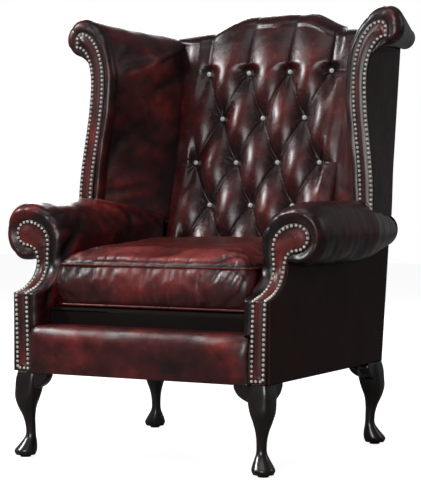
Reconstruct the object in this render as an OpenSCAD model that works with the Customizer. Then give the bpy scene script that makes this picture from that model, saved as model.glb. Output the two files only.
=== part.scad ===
// Scroll-wing armchair: deep-buttoned raked back, scroll arms, loose cushion, cabriole legs.
// X runs across the chair, Y from front to back, Z up. The floor is z = 0.

/* [Body] */
// Width over the outside arm panels at the front
body_front_w = 662; // [620:1:700]
// How much narrower the body is at the back
body_taper = 26; // [0:1:60]
// Depth of the body at its underside
body_d = 620; // [590:1:660]
// Height of the body's underside above the floor
body_z = 199; // [185:1:230]
// Backward slope of the outside back, run per unit of rise
back_slope = 0.15; // [0.10:0.01:0.18]
// Thickness of a leather panel with its backing
panel_t = 4; // [3:0.5:5]

/* [Seat] */
// Height of the front border's top edge
border_top_z = 306; // [296:1:316]
// How far the front border bulges ahead of the facings
border_bulge = 12; // [6:1:18]
// Height of the deck that the cushion lies on
deck_z = 345; // [338:1:350]
// Distance from the facings back to the deck's front edge
deck_front_y = 45; // [40:1:50]
// Thickness of an arm at the front, from the outside panel to the inside face
arm_w = 67; // [62:1:76]
// How much the clear width between the arms narrows towards the back
inside_taper = 80; // [60:1:92]

/* [Cushion] */
// Distance from the facings back to the cushion's front face
cushion_front_y = 57; // [50:1:70]
// Gap between the cushion and the arm's rear end
cushion_rear_gap = 22; // [18:1:30]
// Height of the cushion's side band between its seams
cushion_band_h = 92; // [70:1:100]
// Height of the crown above the top seam
cushion_crown = 60; // [30:1:66]
// Gap between the cushion and each arm
cushion_gap = 2; // [1:0.5:6]
// Radius of the cushion's corners in plan
cushion_corner_r = 30; // [20:1:45]
// How far the middles of the cushion's sides are drawn in
cushion_draw = 5; // [0:1:10]
// How far the side band swells
band_swell = 5; // [0:1:8]
// Radius of the cushion's piping
piping_r = 2.6; // [2:0.1:4]
// Thickness of the cushion's cover
cover_t = 2; // [1.2:0.1:3]

/* [Arms] */
// Radius of the arm scroll at the front
arm_scroll_r = 59; // [52:1:64]
// How far the scroll's centre stands outside the panel
arm_scroll_out = 14; // [8:1:18]
// Height of the scroll's centre
arm_scroll_z = 513; // [500:1:530]
// Height at which the inside arm begins to curve over
arm_turn_z = 492; // [470:1:500]
// The same height where the arm meets the back
arm_turn_rear_z = 535; // [500:1:540]
// Radius of the arm roll at the back
arm_rear_r = 38; // [30:1:44]
// How far the rear roll's centre lies inside the panel
arm_rear_in = 18; // [12:1:24]
// Extra height of the padding along the arm's top
arm_crown = 8; // [0:1:12]
// Height where the facing breaks and sweeps back
sweep_z = 378; // [360:1:390]
// Height where the sweep turns upright again
sweep_top_z = 446; // [436:1:456]
// Depth of the sweep
sweep_d = 90; // [70:1:100]
// Thickness of the padding on arms and wings
pad_t = 22; // [18:1:24]

/* [Facings and nails] */
// Width between the two nail rows on an arm facing
arm_nail_w = 28; // [24:1:30]
// Distance of the inner nail row from the arm's inside face
arm_nail_in = 24; // [20:1:26]
// Margin of a facing beyond its nails
facing_margin = 6.5; // [5.5:0.5:7]
// Thickness of a facing
facing_t = 4; // [3:0.5:5]
// Spacing of the nails
nail_pitch = 10.7; // [10.2:0.1:14]
// Radius of a nail's head
nail_r = 4.7; // [3.5:0.1:4.9]
// Height of a nail's head
nail_h = 3.2; // [2:0.1:4]
// Radius of a nail's shank
nail_shank_r = 0.8; // [0.6:0.1:1]
// Length of a nail's shank
nail_shank_l = 12; // [8:1:14]

/* [Wings] */
// How far the wing's front stands ahead of the arm's rear end
wing_lead = 115; // [105:1:125]
// Backward lean of the wing's front, run per unit of rise
wing_lean = 0.06; // [0.04:0.01:0.07]
// Radius of the wing scroll at the front
wing_scroll_r = 47; // [42:1:50]
// How far the wing scroll's centre stands outside the arm's panel
wing_scroll_out = 76; // [68:1:82]
// How far the wing scroll's centre lies below the crest
wing_scroll_drop = 63; // [56:1:74]
// Radius of the wing roll at the back
wing_rear_r = 25; // [20:1:28]
// How far the rear wing roll's centre stands outside the rear corner
wing_rear_out = 10; // [5:1:14]
// How far the rear wing roll's centre lies below the crest
wing_rear_drop = 71; // [66:1:80]
// How far the wing's inner edge stands outside the panel at the foot
wing_foot_out = 12; // [7:1:15]
// How far the wing's inner edge lies inside the panel at the waist
wing_waist_in = 19; // [15:1:24]
// How far the wing's waist lies below its scroll's centre
wing_waist_drop = 121; // [110:1:135]
// Width of a wing's front at the foot
wing_foot_w = 55; // [52:1:57]
// Width of a wing's front at the waist
wing_waist_w = 59; // [57:1:61]

/* [Back] */
// Height of the crest in the middle
crest_z = 1052; // [1046:1:1060]
// How far the shoulders beside the wings lie below the crest
shoulder_drop = 38; // [32:1:44]
// Half-width of the crest's flat top
crest_flat = 100; // [80:1:110]
// Half-width at which the shoulders begin
crest_shoulder = 178; // [165:1:190]
// Slope of the back pad, run per unit of rise
pad_slope = 0.309; // [0.30:0.001:0.315]
// Gap between the back pad and the arm's inside face
pad_foot_gap = 5; // [2:1:9]
// How much the back pad's half-width grows up to the crest
pad_spread = 43; // [34:1:46]
// How far the highest row of buttons lies below the crest
tuft_drop = 149; // [138:1:160]
// Depth of the back at the highest row of buttons
tuft_top_in = 73.6; // [68:0.1:80]
// Spacing of the buttons along a row
tuft_pitch = 114.5; // [108:0.5:116]
// Drop from the highest row to the next
tuft_rise = 115; // [108:1:118]
// How much shorter each lower row's drop is
tuft_rise_step = 5; // [0:1:6]
// How far the padding stands out between the buttons
tuft_depth = 30; // [20:1:32]
// Radius of a back button
button_r = 6.5; // [5:0.5:8]

/* [Legs] */
// How far a leg's outer corner lies inside the panel
leg_corner_in = 5; // [3:1:12]
// How far a rear leg's outer corner stands behind the body
leg_rear_out = 1; // [0:1:6]
// Diameter across a foot
foot_w = 52; // [44:1:58]
// Width across the ankle
ankle_w = 23; // [20:1:30]
// Distance of the ankle's middle in from the corner, along the diagonal
ankle_inset = 38; // [34:1:42]
// Width across the knee
knee_w = 66; // [60:1:70]
// Reach of a knee block along the rail, from the leg's outer corner
ear_reach = 84; // [78:1:100]
// Radius of a foot glide
glide_r = 12; // [8:1:16]
// Thickness of a foot glide
glide_t = 5; // [3:1:8]

/* [Frame] */
// Thickness of the seat rails
rail_t = 26; // [22:1:30]
// Height of the seat rails
rail_h = 92; // [80:1:92]
// Depth of a front post from front to back
post_d = 41; // [36:1:44]
// Thickness of a back post across the chair
back_post_t = 27; // [24:1:30]
// Depth of a back post from front to back
back_post_d = 50; // [40:1:56]
// Radius of a hanger bolt
bolt_r = 4; // [3:0.5:5]
// Number of seat springs
spring_count = 5; // [3:1:5]
// Diameter of the spring wire
spring_wire = 3.8; // [3:0.1:4.5]

/* [Hidden] */
$fn = 48;

leather = "#4a1a1c";
dark_leather = "#2c1214";
facing_leather = "#5c2020";
timber = "#c49a6c";
mahogany = "#2a120e";
brass = "#cfc8bc";
steel = "#8d9196";
cloth = "#26221f";

// Clearance between fitted faces, and the overrun of every cut
fit = 0.4;
seam_gap = 0.6;
over = 2;
// Distance from the body's rear to the place where the inside arm meets the back pad
inside_rear_in = 120;
// Height of the roll that carries the back pad over the crest
crest_roll_h = 34;

// Widths, depths and heights that follow from the sizes above
body_rear_w = body_front_w - body_taper;
inside_front_w = body_front_w - 2 * arm_w;
inside_rear_w = inside_front_w - inside_taper;
inside_rear_y = body_d - inside_rear_in;
arm_scroll_x = body_front_w / 2 + arm_scroll_out;
arm_rear_x = body_rear_w / 2 - arm_rear_in;
arm_nail_x = inside_front_w / 2 + arm_nail_in;
wing_front_y = inside_rear_y - wing_lead;
wing_scroll_x = body_front_w / 2 + wing_scroll_out;
wing_scroll_z = crest_z - wing_scroll_drop;
wing_rear_x = body_rear_w / 2 + wing_rear_out;
wing_rear_z = crest_z - wing_rear_drop;
wing_foot_x = body_front_w / 2 + wing_foot_out;
wing_waist_x = body_front_w / 2 - wing_waist_in;
wing_waist_z = wing_scroll_z - wing_waist_drop;
shoulder_z = crest_z - shoulder_drop;
pad_half_w = inside_rear_w / 2 - pad_foot_gap;
pad_top_half_w = pad_half_w + pad_spread;
tuft_top_z = crest_z - tuft_drop;
tuft_top_y = body_d + back_slope * (tuft_top_z - body_z) - tuft_top_in;
cushion_rear_y = inside_rear_y - cushion_rear_gap;
leg_corner_x = body_front_w / 2 - leg_corner_in;
leg_rear_y = body_d + leg_rear_out;

// Plan: the outside panels draw in towards the back
plan_taper = (body_front_w - body_rear_w) / 2 / body_d;
function panel_x(y) = body_front_w / 2 - plan_taper * y;
function inside_x(y) =
    inside_front_w / 2 - (inside_front_w - inside_rear_w) / 2 * y / inside_rear_y;
rail_z = body_z + 2;
rail_top_z = rail_z + rail_h;

// Side view: the outside back and the button plane
function back_y(z) = body_d + back_slope * (z - body_z);
function tuft_y(z) = tuft_top_y + pad_slope * (z - tuft_top_z);
back_angle = atan(back_slope);
tuft_angle = atan(pad_slope);
wing_angle = atan(wing_lean);
overall_front_y = -border_bulge;
overall_rear_y = back_y(crest_z - crest_roll_h);
mid_y = (overall_front_y + overall_rear_y) / 2;

// Places a piece in the chair's frame, whose origin is under its middle
module seat(left = false) translate([0, -mid_y, 0]) mirror([left ? 1 : 0, 0, 0]) children();

function lerp(a, b, t) = a + (b - a) * t;
function clamp(v, lo, hi) = min(max(v, lo), hi);
function ease(t) = let (c = clamp(t, 0, 1)) c * c * (3 - 2 * c);
function sum(v, n) = n <= 0 ? 0 : v[n - 1] + sum(v, n - 1);
function flatten(rows) = [for (r = rows) for (p = r) p];
// Points on an ellipse from angle a to angle b
function arc(cx, cz, rx, rz, a, b, n) =
    [for (i = [0:n]) let (t = lerp(a, b, i / n)) [cx + rx * cos(t), cz + rz * sin(t)]];
function bezier(p, t) =
    let (s = 1 - t)
    s * s * s * p[0] + 3 * s * s * t * p[1] + 3 * s * t * t * p[2] + t * t * t * p[3];
function unit(v) = v / norm(v);
// The line moved sideways by t, to the left of its direction, with mitred corners
function offset_line(p, t) =
    let (last = len(p) - 1)
    [for (i = [0:last])
        let (
            a = unit(i > 0 ? p[i] - p[i - 1] : p[1] - p[0]),
            b = unit(i < last ? p[i + 1] - p[i] : p[last] - p[last - 1]),
            n = [-a.y - b.y, a.x + b.x]
        )
        p[i] + n * t / (1 + a * b)];

// Solid between two grids of points with the same rows and columns
module sheet(outer, inner) {
    rows = len(outer);
    cols = len(outer[0]);
    n = rows * cols;
    function quad(a, b, c, d) = [[a, b, c], [a, c, d]];
    function at(i, j) = i * cols + j;
    faces = concat(
        [for (i = [0:rows - 2]) for (j = [0:cols - 2])
            for (f = quad(at(i, j), at(i + 1, j), at(i + 1, j + 1), at(i, j + 1))) f],
        [for (i = [0:rows - 2]) for (j = [0:cols - 2])
            for (f = quad(n + at(i, j), n + at(i, j + 1), n + at(i + 1, j + 1), n + at(i + 1, j))) f],
        [for (i = [0:rows - 2])
            for (f = quad(at(i, 0), n + at(i, 0), n + at(i + 1, 0), at(i + 1, 0))) f],
        [for (i = [0:rows - 2])
            let (a = at(i, cols - 1), b = at(i + 1, cols - 1))
            for (f = quad(a, b, n + b, n + a)) f],
        [for (j = [0:cols - 2])
            for (f = quad(at(0, j), at(0, j + 1), n + at(0, j + 1), n + at(0, j))) f],
        [for (j = [0:cols - 2])
            let (a = at(rows - 1, j), b = at(rows - 1, j + 1))
            for (f = quad(a, n + a, n + b, b)) f]
    );
    polyhedron(points = concat(flatten(outer), flatten(inner)), faces = faces, convexity = 10);
}

// Solid through a stack of rings, closed by a fan at each end
module loft(rings) {
    n = len(rings[0]);
    m = len(rings);
    first = sum_points(rings[0], n) / n;
    last = sum_points(rings[m - 1], n) / n;
    faces = concat(
        [for (i = [0:m - 2]) for (j = [0:n - 1])
            let (a = i * n + j, b = i * n + (j + 1) % n)
            for (f = [[a, b + n, b], [a, a + n, b + n]]) f],
        [for (j = [0:n - 1]) [m * n, j, (j + 1) % n]],
        [for (j = [0:n - 1]) [m * n + 1, (m - 1) * n + (j + 1) % n, (m - 1) * n + j]]
    );
    polyhedron(points = concat(flatten(rings), [first, last]), faces = faces, convexity = 6);
}
function sum_points(p, n) = n == 1 ? p[0] : p[n - 1] + sum_points(p, n - 1);

// Solid ring whose cross-sections follow each other round a closed loop
module ring_solid(sections) {
    n = len(sections);
    m = len(sections[0]);
    faces = [for (i = [0:n - 1]) for (k = [0:m - 1])
        let (a = i * m + k, b = i * m + (k + 1) % m,
             c = ((i + 1) % n) * m + k, d = ((i + 1) % n) * m + (k + 1) % m)
        for (f = [[a, d, c], [a, b, d]]) f];
    polyhedron(points = flatten(sections), faces = faces, convexity = 10);
}
// Round section of radius r at p, square to the direction d in plan
function round_section(p, d, r, sides) =
    let (side = [d.y, -d.x, 0])
    [for (k = [0:sides - 1])
        p + r * cos(360 * k / sides) * side + [0, 0, r * sin(360 * k / sides)]];

// An outline drawn in front view, given depth from y = a to y = b
module front_prism(outline, a, b)
    translate([0, b, 0]) rotate([90, 0, 0]) linear_extrude(b - a) polygon(outline);
// An outline drawn in side view as (y, z), given width from x = a to x = b
module side_prism(outline, a, b)
    translate([a, 0, 0]) rotate([90, 0, 90]) linear_extrude(b - a) polygon(outline);
module plan_prism(outline, a, b) translate([0, 0, a]) linear_extrude(b - a) polygon(outline);
module box(lo, hi) translate(lo) cube(hi - lo);
// An outline in front view, kept to the band of depths a to b behind a sloping plane
module sloped_prism(outline, z0, z1, y0, y1, a, b) {
    xs = [for (p = outline) p.x];
    intersection() {
        front_prism(outline, min(y0, y1) + a - over, max(y0, y1) + b + over);
        side_prism([[y0 + a, z0], [y0 + b, z0], [y1 + b, z1], [y1 + a, z1]],
                   min(xs) - over, max(xs) + over);
    }
}

// Arm: the section at depth y, from the tuck under the roll, over the top, down the inside
arm_end_y = back_y(arm_scroll_z - arm_rear_r) - panel_t - seam_gap;
function arm_share(y) = clamp((y - wing_front_y) / (arm_end_y - wing_front_y), 0, 1);
function arm_x(y) = lerp(arm_scroll_x, arm_rear_x, arm_share(y));
function arm_r(y) = lerp(arm_scroll_r, arm_rear_r, arm_share(y));
function arm_top_r(y) =
    arm_r(y) + arm_crown * ease((y - sweep_d) / arm_scroll_r) * (1 - arm_share(y));
function arm_turn(y) =
    lerp(arm_turn_z, arm_turn_rear_z, clamp(y / inside_rear_y, 0, 1) ^ 2);
function wall_x(y) = inside_x(min(y, inside_rear_y));
function tuck_angle(y) = -acos((panel_x(y) - panel_t - arm_x(y)) / arm_r(y));
arm_roll_n = 9;
arm_turn_n = 5;
function arm_roll(y) =
    [for (i = [0:arm_roll_n])
        let (t = lerp(tuck_angle(y), 90, i / arm_roll_n))
        [arm_x(y) + arm_r(y) * cos(t),
         arm_scroll_z + (t > 0 ? arm_top_r(y) : arm_r(y)) * sin(t)]];
function arm_turn_over(y) =
    [for (i = [1:arm_turn_n])
        let (t = 90 + 90 * i / arm_turn_n)
        [arm_x(y) + (arm_x(y) - wall_x(y)) * cos(t),
         arm_turn(y) + (arm_scroll_z + arm_top_r(y) - arm_turn(y)) * sin(t)]];
// Height of the arm's upper surface at a place in plan
function arm_surface(x, y) =
    x > arm_x(y)
    ? arm_scroll_z + arm_top_r(y) * sqrt(max(0, 1 - ((x - arm_x(y)) / arm_r(y)) ^ 2))
    : arm_turn(y) + (arm_scroll_z + arm_top_r(y) - arm_turn(y))
        * sqrt(max(0, 1 - ((arm_x(y) - x) / (arm_x(y) - wall_x(y))) ^ 2));
// Height of the arm roll's underside at a place in plan
function arm_under(x, y) =
    arm_scroll_z - sqrt(max(0, arm_r(y) ^ 2 - (x - arm_x(y)) ^ 2));

// Side view of the arm's front: upright, a break, a sweep back, then upright again
sweep_shares = [[0, 0], [0.45, 0.1], [0.98, 0.42], [1, 1]];
sweep_n = 6;
function sweep_at(t) =
    let (p = bezier(sweep_shares, t)) [p.x * sweep_d, lerp(sweep_z, sweep_top_z, p.y)];
function side_line(z0, z1) =
    concat([[0, z0]], [for (i = [0:sweep_n]) sweep_at(i / sweep_n)], [[sweep_d, z1]]);
// The depth of the arm's front at a height
function front_y(z) =
    z <= sweep_z ? 0 : z >= sweep_top_z ? sweep_d :
    lookup(z, [for (i = [0:4 * sweep_n]) let (p = sweep_at(i / 4 / sweep_n)) [p.y, p.x]]);

// Nail rows on the arm facing, as one closed line in front view
// The head's centre, across and up from the scroll's, and its radius, as shares of the scroll's
arm_head_shares = [0.085, -0.034, 0.458];
arm_head_x = arm_scroll_x + arm_head_shares[0] * arm_scroll_r;
arm_head_z = arm_scroll_z + arm_head_shares[1] * arm_scroll_r;
arm_head_r = arm_head_shares[2] * arm_scroll_r;
nail_low_z = body_z + facing_margin + seam_gap;
// How far the rows pinch in and lean out, as shares of the space between them
pinch_share = 0.1;
lean_share = 0.18;
sweep_pinch = pinch_share * arm_nail_w;
nail_lean = lean_share * arm_nail_w;
head_start_share = 0.88;
head_start_z = arm_head_z - head_start_share * arm_head_r;
function row_x(z, outer) =
    let (
        lean = nail_lean * ease((z - body_z) / (sweep_top_z - body_z)),
        pinch = sweep_pinch * sin(180 * clamp((z - sweep_z) / (head_start_z - sweep_z), 0, 1))
    )
    arm_nail_x + lean + (outer ? arm_nail_w - pinch : pinch);
row_n = 10;
head_in_n = 6;
head_out_n = 9;
neck_n = 5;
row_heights = concat(
    [nail_low_z, (nail_low_z + sweep_z) / 2, sweep_z],
    [for (i = [1:row_n]) lerp(sweep_z, head_start_z, i / row_n)]
);
neck_r = arm_head_x - row_x(head_start_z, true) - seam_gap;
neck_z = arm_head_z - arm_head_r - neck_r;
arm_nail_line = concat(
    [for (z = row_heights) [row_x(z, false), z]],
    [for (i = [1:head_in_n]) let (t = 180 - 90 * i / head_in_n)
        [arm_head_x + (arm_head_x - row_x(head_start_z, false)) * cos(t),
         head_start_z + (arm_head_z + arm_head_r - head_start_z) * sin(t)]],
    [for (i = [1:head_out_n]) let (t = 90 - 180 * i / head_out_n)
        [arm_head_x + arm_head_r * cos(t), arm_head_z + arm_head_r * sin(t)]],
    [for (i = [1:neck_n]) let (t = 90 + 90 * i / neck_n)
        [arm_head_x + neck_r * cos(t), neck_z + neck_r * sin(t)]],
    [for (i = [1:len(row_heights)]) let (z = row_heights[len(row_heights) - i])
        if (z < neck_z - nail_r) [row_x(z, true), z]]
);
arm_facing_line = concat(
    [[row_x(body_z, false) - facing_margin, body_z + seam_gap]],
    offset_line([for (i = [1:len(arm_nail_line) - 2]) arm_nail_line[i]], facing_margin),
    [[row_x(body_z, true) + facing_margin, body_z + seam_gap]]
);

// Points at equal steps along a line
function line_length(p) = sum([for (i = [1:len(p) - 1]) norm(p[i] - p[i - 1])], len(p) - 1);
function along(p, d, i = 0) =
    let (step = norm(p[i + 1] - p[i]))
    d <= step || i == len(p) - 2 ? lerp(p[i], p[i + 1], min(1, d / step)) : along(p, d - step, i + 1);
function spaced(p, pitch, closed) =
    let (length = line_length(p), n = round(length / pitch))
    [for (k = [0:n - (closed ? 1 : 0)]) along(p, length * k / n)];

// Wing: the front section, from the tuck under the roll, over the scroll, down the inside
wing_foot_z = arm_scroll_z + arm_scroll_r + arm_crown;
wing_tuck = -95;
wing_roll_n = 9;
wing_curl_n = 6;
wing_wall_n = 6;
wing_top_z = wing_scroll_z + wing_scroll_r;
function wing_y(z) = wing_front_y + wing_lean * (z - wing_foot_z);
function waist_share(z) =
    (1 - cos(180 * clamp((wing_waist_z - z) / (wing_waist_z - wing_foot_z), 0, 1))) / 2;
wing_inner_line = concat(
    arc(wing_scroll_x, wing_scroll_z, wing_scroll_r, wing_scroll_r, wing_tuck, 90, wing_roll_n),
    [for (i = [1:wing_curl_n]) let (t = 90 + 90 * i / wing_curl_n)
        [wing_scroll_x + (wing_scroll_x - wing_waist_x) * cos(t),
         wing_waist_z + (wing_top_z - wing_waist_z) * sin(t)]],
    [for (i = [1:wing_wall_n]) let (z = lerp(wing_waist_z, wing_foot_z, i / wing_wall_n))
        [lerp(wing_waist_x, wing_foot_x, waist_share(z)), z]]
);
// The outer edge of the wing's front, with the cove under the scroll
cove_share = 0.62;
cove_top_share = 0.97;
cove_r = cove_share * wing_scroll_r;
cove_z = wing_scroll_z - wing_scroll_r - cove_r;
function wing_outer_x(z) =
    let (waist = wing_waist_x + wing_waist_w)
    z < cove_z
    ? lerp(waist, wing_foot_x + wing_foot_w, waist_share(z))
    : waist + cove_r - sqrt(max(0, cove_r ^ 2 - (z - cove_z) ^ 2));
cove_top_z = cove_z + cove_top_share * cove_r;

// The wing's section where it meets the back: the roll, then the line beside the back pad
wing_end_y = back_y(wing_rear_z) - panel_t - seam_gap;
wing_join_z = wing_rear_z - wing_rear_r / 2;
function wing_rear_tuck() =
    -acos((panel_x(wing_end_y) - panel_t - wing_rear_x) / wing_rear_r);
function wing_rear_line() = concat(
    [for (i = [0:wing_roll_n]) let (t = lerp(wing_rear_tuck(), 90, i / wing_roll_n))
        [wing_rear_x + wing_rear_r * cos(t), wing_end_y, wing_rear_z + wing_rear_r * sin(t)]],
    [for (i = [1:wing_curl_n])
        let (
            t = 90 * i / wing_curl_n,
            x = lerp(wing_rear_x, pad_edge(wing_join_z) + seam_gap, sin(t)),
            z = lerp(wing_join_z, wing_rear_z + wing_rear_r, cos(t))
        )
        [x, lerp(wing_end_y, edge_y(wing_join_z), sin(t)), z]],
    [for (i = [1:wing_wall_n])
        let (z = lerp(wing_join_z, arm_turn_rear_z, i / wing_wall_n))
        [pad_edge(z) + seam_gap, edge_y(z), z]]
);
wing_rear_t = pad_t / 2;

// Back pad: its half-width, the diamonds between the buttons, and its front surface
function pad_edge(z) =
    lerp(pad_half_w, pad_top_half_w, clamp((z - wing_foot_z) / (shoulder_z - wing_foot_z), 0, 1) ^ 2);
function row_z(k) = tuft_top_z - tuft_rise * k + tuft_rise_step / 2 * k * (k - 1);
function row_at(z) =
    let (a = tuft_rise_step / 2, b = tuft_rise + a, c = tuft_top_z - z)
    a == 0 ? c / b : (b - sqrt(max(0, b * b - 4 * a * c))) / 2 / a;
tuft_rows = 5;
// Columns of buttons outside the middle, in pitches, and how sharply the puffs rise
tuft_half_columns = 1.5;
puff_power = 0.6;
// Depth of the pad beside the wings, as a share of a button's depth
pad_edge_share = 0.9;
// Gap between the cushion and the lower back
lower_back_gap = 12;
function puff(x, z) =
    let (
        u = clamp(x / tuft_pitch, -tuft_half_columns, tuft_half_columns),
        k = clamp(row_at(z), 0, tuft_rows - 1),
        p = u + (k + 1) / 2,
        q = u - (k - 1) / 2
    )
    abs(sin(180 * p) * sin(180 * q)) ^ puff_power;
pad_foot_y = cushion_rear_y + lower_back_gap;
function pad_y(x, z) = max(tuft_y(z) - tuft_depth * puff(x, z), pad_foot_y);
function edge_y(z) = max(tuft_y(z) - pad_edge_share * tuft_depth, pad_foot_y);
function pad_rear_y(z) =
    max(min(tuft_y(z) + pad_t, back_y(z) - panel_t - crest_rail_gap), pad_y(0, z) + pad_t / 2);
crest_rail_gap = 36;
// Height of the crest across the chair; beyond its shoulders it falls gently
crest_fall = 0.06;
function crest(x) =
    let (a = abs(x))
    a < crest_flat ? crest_z :
    lerp(crest_z, shoulder_z, ease((a - crest_flat) / (crest_shoulder - crest_flat)))
    - crest_fall * max(0, a - crest_shoulder);
function pad_front_top(x) = crest(x) - crest_roll_h;

// Cushion: its closed outline in plan, inset by a distance
cushion_rest_h = 6;
cushion_low_z = deck_z + cushion_rest_h;
cushion_seam_z = cushion_low_z + cushion_band_h;
function cushion_half(y) = inside_x(y) - cushion_gap - band_swell;
corner_n = 3;
side_n = 4;
function cushion_corner(sx, sy, inset) =
    let (
        r = cushion_corner_r,
        cy = sy < 0 ? cushion_front_y + band_swell + r : cushion_rear_y - r,
        start = sx > 0 ? (sy < 0 ? -90 : 0) : (sy < 0 ? 180 : 90)
    )
    [for (i = [0:corner_n])
        let (t = start + 90 * i / corner_n, y = cy + (r - inset) * sin(t))
        [sx * (cushion_half(y) - r) + (r - inset) * cos(t), y]];
function cushion_side(a, b, draw) =
    [for (i = [1:side_n])
        let (t = i / (side_n + 1), p = lerp(a, b, t), d = unit(b - a))
        p + draw * sin(180 * t) * [-d.y, d.x]];
function cushion_line(inset) =
    let (
        c = [for (s = [[1, -1], [1, 1], [-1, 1], [-1, -1]]) cushion_corner(s.x, s.y, inset)],
        n = corner_n
    )
    concat(
        c[0], cushion_side(c[0][n], c[1][0], cushion_draw),
        c[1], cushion_side(c[1][n], c[2][0], 0),
        c[2], cushion_side(c[2][n], c[3][0], cushion_draw),
        c[3], cushion_side(c[3][n], c[0][0], cushion_draw)
    );
cushion_mid = [0, (cushion_front_y + cushion_rear_y) / 2];
// Height of the crown above the seam: rising towards the back, falling at the edges.
// The powers set how flat it is across, and how soon it rises and falls along its depth.
crown_powers = [3.5, 0.8, 0.36, 24];
function crown(x, y) =
    let (
        front = cushion_front_y + band_swell,
        v = clamp((y - front) / (cushion_rear_y - front), 0, 1),
        u = clamp(abs(x) / cushion_half(y), 0, 1)
    )
    cushion_crown * (1 - u ^ crown_powers[0]) ^ crown_powers[1]
        * v ^ crown_powers[2] * (1 - v ^ crown_powers[3]);
crown_shares = [0.36, 0.62, 0.82, 0.94, 1];
function crown_ring(inset, share, drop) =
    [for (p = cushion_line(inset))
        let (q = cushion_mid + share * (p - cushion_mid))
        [q.x, q.y, cushion_seam_z + crown(q.x, q.y) - drop]];
// The side band swells at its middle, but not at the back, where the zip lies flat
function band_ring(inset, z) =
    let (line = cushion_line(inset), n = len(line))
    [for (i = [0:n - 1])
        let (
            d = unit(line[(i + 1) % n] - line[(i + n - 1) % n]),
            h = (z - cushion_low_z) / cushion_band_h,
            rear = ease((line[i].y - cushion_rear_y + 2 * cushion_corner_r) / cushion_corner_r),
            s = band_swell * sin(180 * clamp(h, 0, 1)) * (1 - rear)
        )
        [line[i].x + s * d.y, line[i].y - s * d.x, z]];

// Leg: its corner is the origin, and X and Y run inwards along the two rails.
// Each ring gives a height share, the diagonal width and the middle's inset as shares of the
// foot's, ankle's or knee's size, and the squareness.
leg_top_z = body_z - fit;
leg_foot_shares = [
    [0.000, 0.87, 0.50, 2], [0.045, 1, 0.50, 2], [0.097, 0.88, 0.58, 2], [0.150, 0.70, 0.66, 2]
];
leg_ankle_shares = [[0.220, 1.09, 1, 2], [0.325, 1, 1, 2], [0.465, 1.30, 0.90, 2.1]];
leg_knee_shares = [
    [0.575, 0.66, 0.46, 2.4], [0.685, 0.88, 0.47, 3], [0.790, 0.97, 0.52, 4],
    [0.920, 0.98, 0.56, 5], [1.000, 0.93, 0.60, 5]
];
function leg_part(shares, wide, inset) =
    [for (r = shares) [r[0], r[1] * wide, r[2] * inset, r[3]]];
leg_rings = concat(
    leg_part(leg_foot_shares, foot_w, foot_w),
    leg_part(leg_ankle_shares, ankle_w, ankle_inset),
    leg_part(leg_knee_shares, knee_w, knee_w)
);
leg_sides = 16;
function ring_half(r) = r[1] / 2 / pow(2, 1 / 2 - 1 / r[3]);
function ring_height(r) = lerp(glide_t, leg_top_z, r[0]);
function squircle(a, n) =
    [sign(cos(a)) * abs(cos(a)) ^ (2 / n), sign(sin(a)) * abs(sin(a)) ^ (2 / n)];
function leg_ring(r) =
    [for (k = [0:leg_sides - 1])
        let (p = squircle(360 * k / leg_sides, r[3]) * ring_half(r), c = r[2] / sqrt(2))
        [c + p.x, c + p.y, ring_height(r)]];
leg_axis = leg_rings[len(leg_rings) - 1][2] / sqrt(2);
foot_axis = leg_rings[0][2] / sqrt(2);
bolt_low_share = 0.74;
bolt_top_share = 0.66;
bolt_low_z = lerp(glide_t, leg_top_z, bolt_low_share);
bolt_top_z = rail_z + bolt_top_share * rail_h;
bolt_gap = 0.1;
ear_inset = 5;
ear_t = 30;
ear_tip_h = 14;
ear_low_ring = 9;
// The ogee's bend: out and up towards the tip, and its lead from the knee
ear_bend_shares = [0.94, 0.45, 0.6];
ear_n = 5;

// Places a leg's piece at one of the four corners
module corner(left, rear)
    seat(left) translate([leg_corner_x, rear ? leg_rear_y : 0, 0])
    mirror([1, 0, 0]) mirror([0, rear ? 1 : 0, 0]) children();

module leg_shape()
    difference() {
        loft([for (r = leg_rings) leg_ring(r)]);
        translate([leg_axis, leg_axis, bolt_low_z - fit]) cylinder(r = bolt_r + bolt_gap, h = leg_top_z);
    }
module leg_front_left() color(mahogany) corner(true, false) leg_shape();
module leg_front_right() color(mahogany) corner(false, false) leg_shape();
module leg_rear_left() color(mahogany) corner(true, true) leg_shape();
module leg_rear_right() color(mahogany) corner(false, true) leg_shape();

// A knee block: flat on top, with an ogee underside that runs into the leg
module ear() {
    root = [for (i = [len(leg_rings) - 1 : -1 : ear_low_ring])
        let (r = leg_rings[i])
        [r[2] / sqrt(2) + ring_half(r) + fit, ring_height(r)]];
    low = root[len(root) - 1];
    tip = [ear_reach, leg_top_z - ear_tip_h];
    bend = [ear_bend_shares[0] * ear_reach, lerp(low.y, tip.y, ear_bend_shares[1])];
    front_prism(
        concat(
            root,
            [for (i = [1:ear_n]) bezier([low, lerp(low, bend, ear_bend_shares[2]), bend, tip], i / ear_n)],
            [[ear_reach, leg_top_z]]
        ),
        ear_inset, ear_inset + ear_t
    );
}
module knee_blocks()
    color(mahogany)
    for (left = [false, true]) for (rear = [false, true]) corner(left, rear) {
        ear();
        mirror([1, -1, 0]) ear();
    }
module leg_bolts()
    color(steel)
    for (left = [false, true]) for (rear = [false, true]) corner(left, rear)
        translate([leg_axis, leg_axis, bolt_low_z]) cylinder(r = bolt_r, h = bolt_top_z - bolt_low_z);
module foot_glides()
    color(cloth)
    for (left = [false, true]) for (rear = [false, true]) corner(left, rear)
        translate([foot_axis, foot_axis, 0]) cylinder(r = glide_r, h = glide_t);
// The hole in a post for its hanger bolt, in the leg's own frame
module bolt_hole(left, rear)
    corner(left, rear) translate([leg_axis, leg_axis, rail_z - over])
        cylinder(r = bolt_r + bolt_gap, h = bolt_top_z - rail_z + over + fit);

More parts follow.
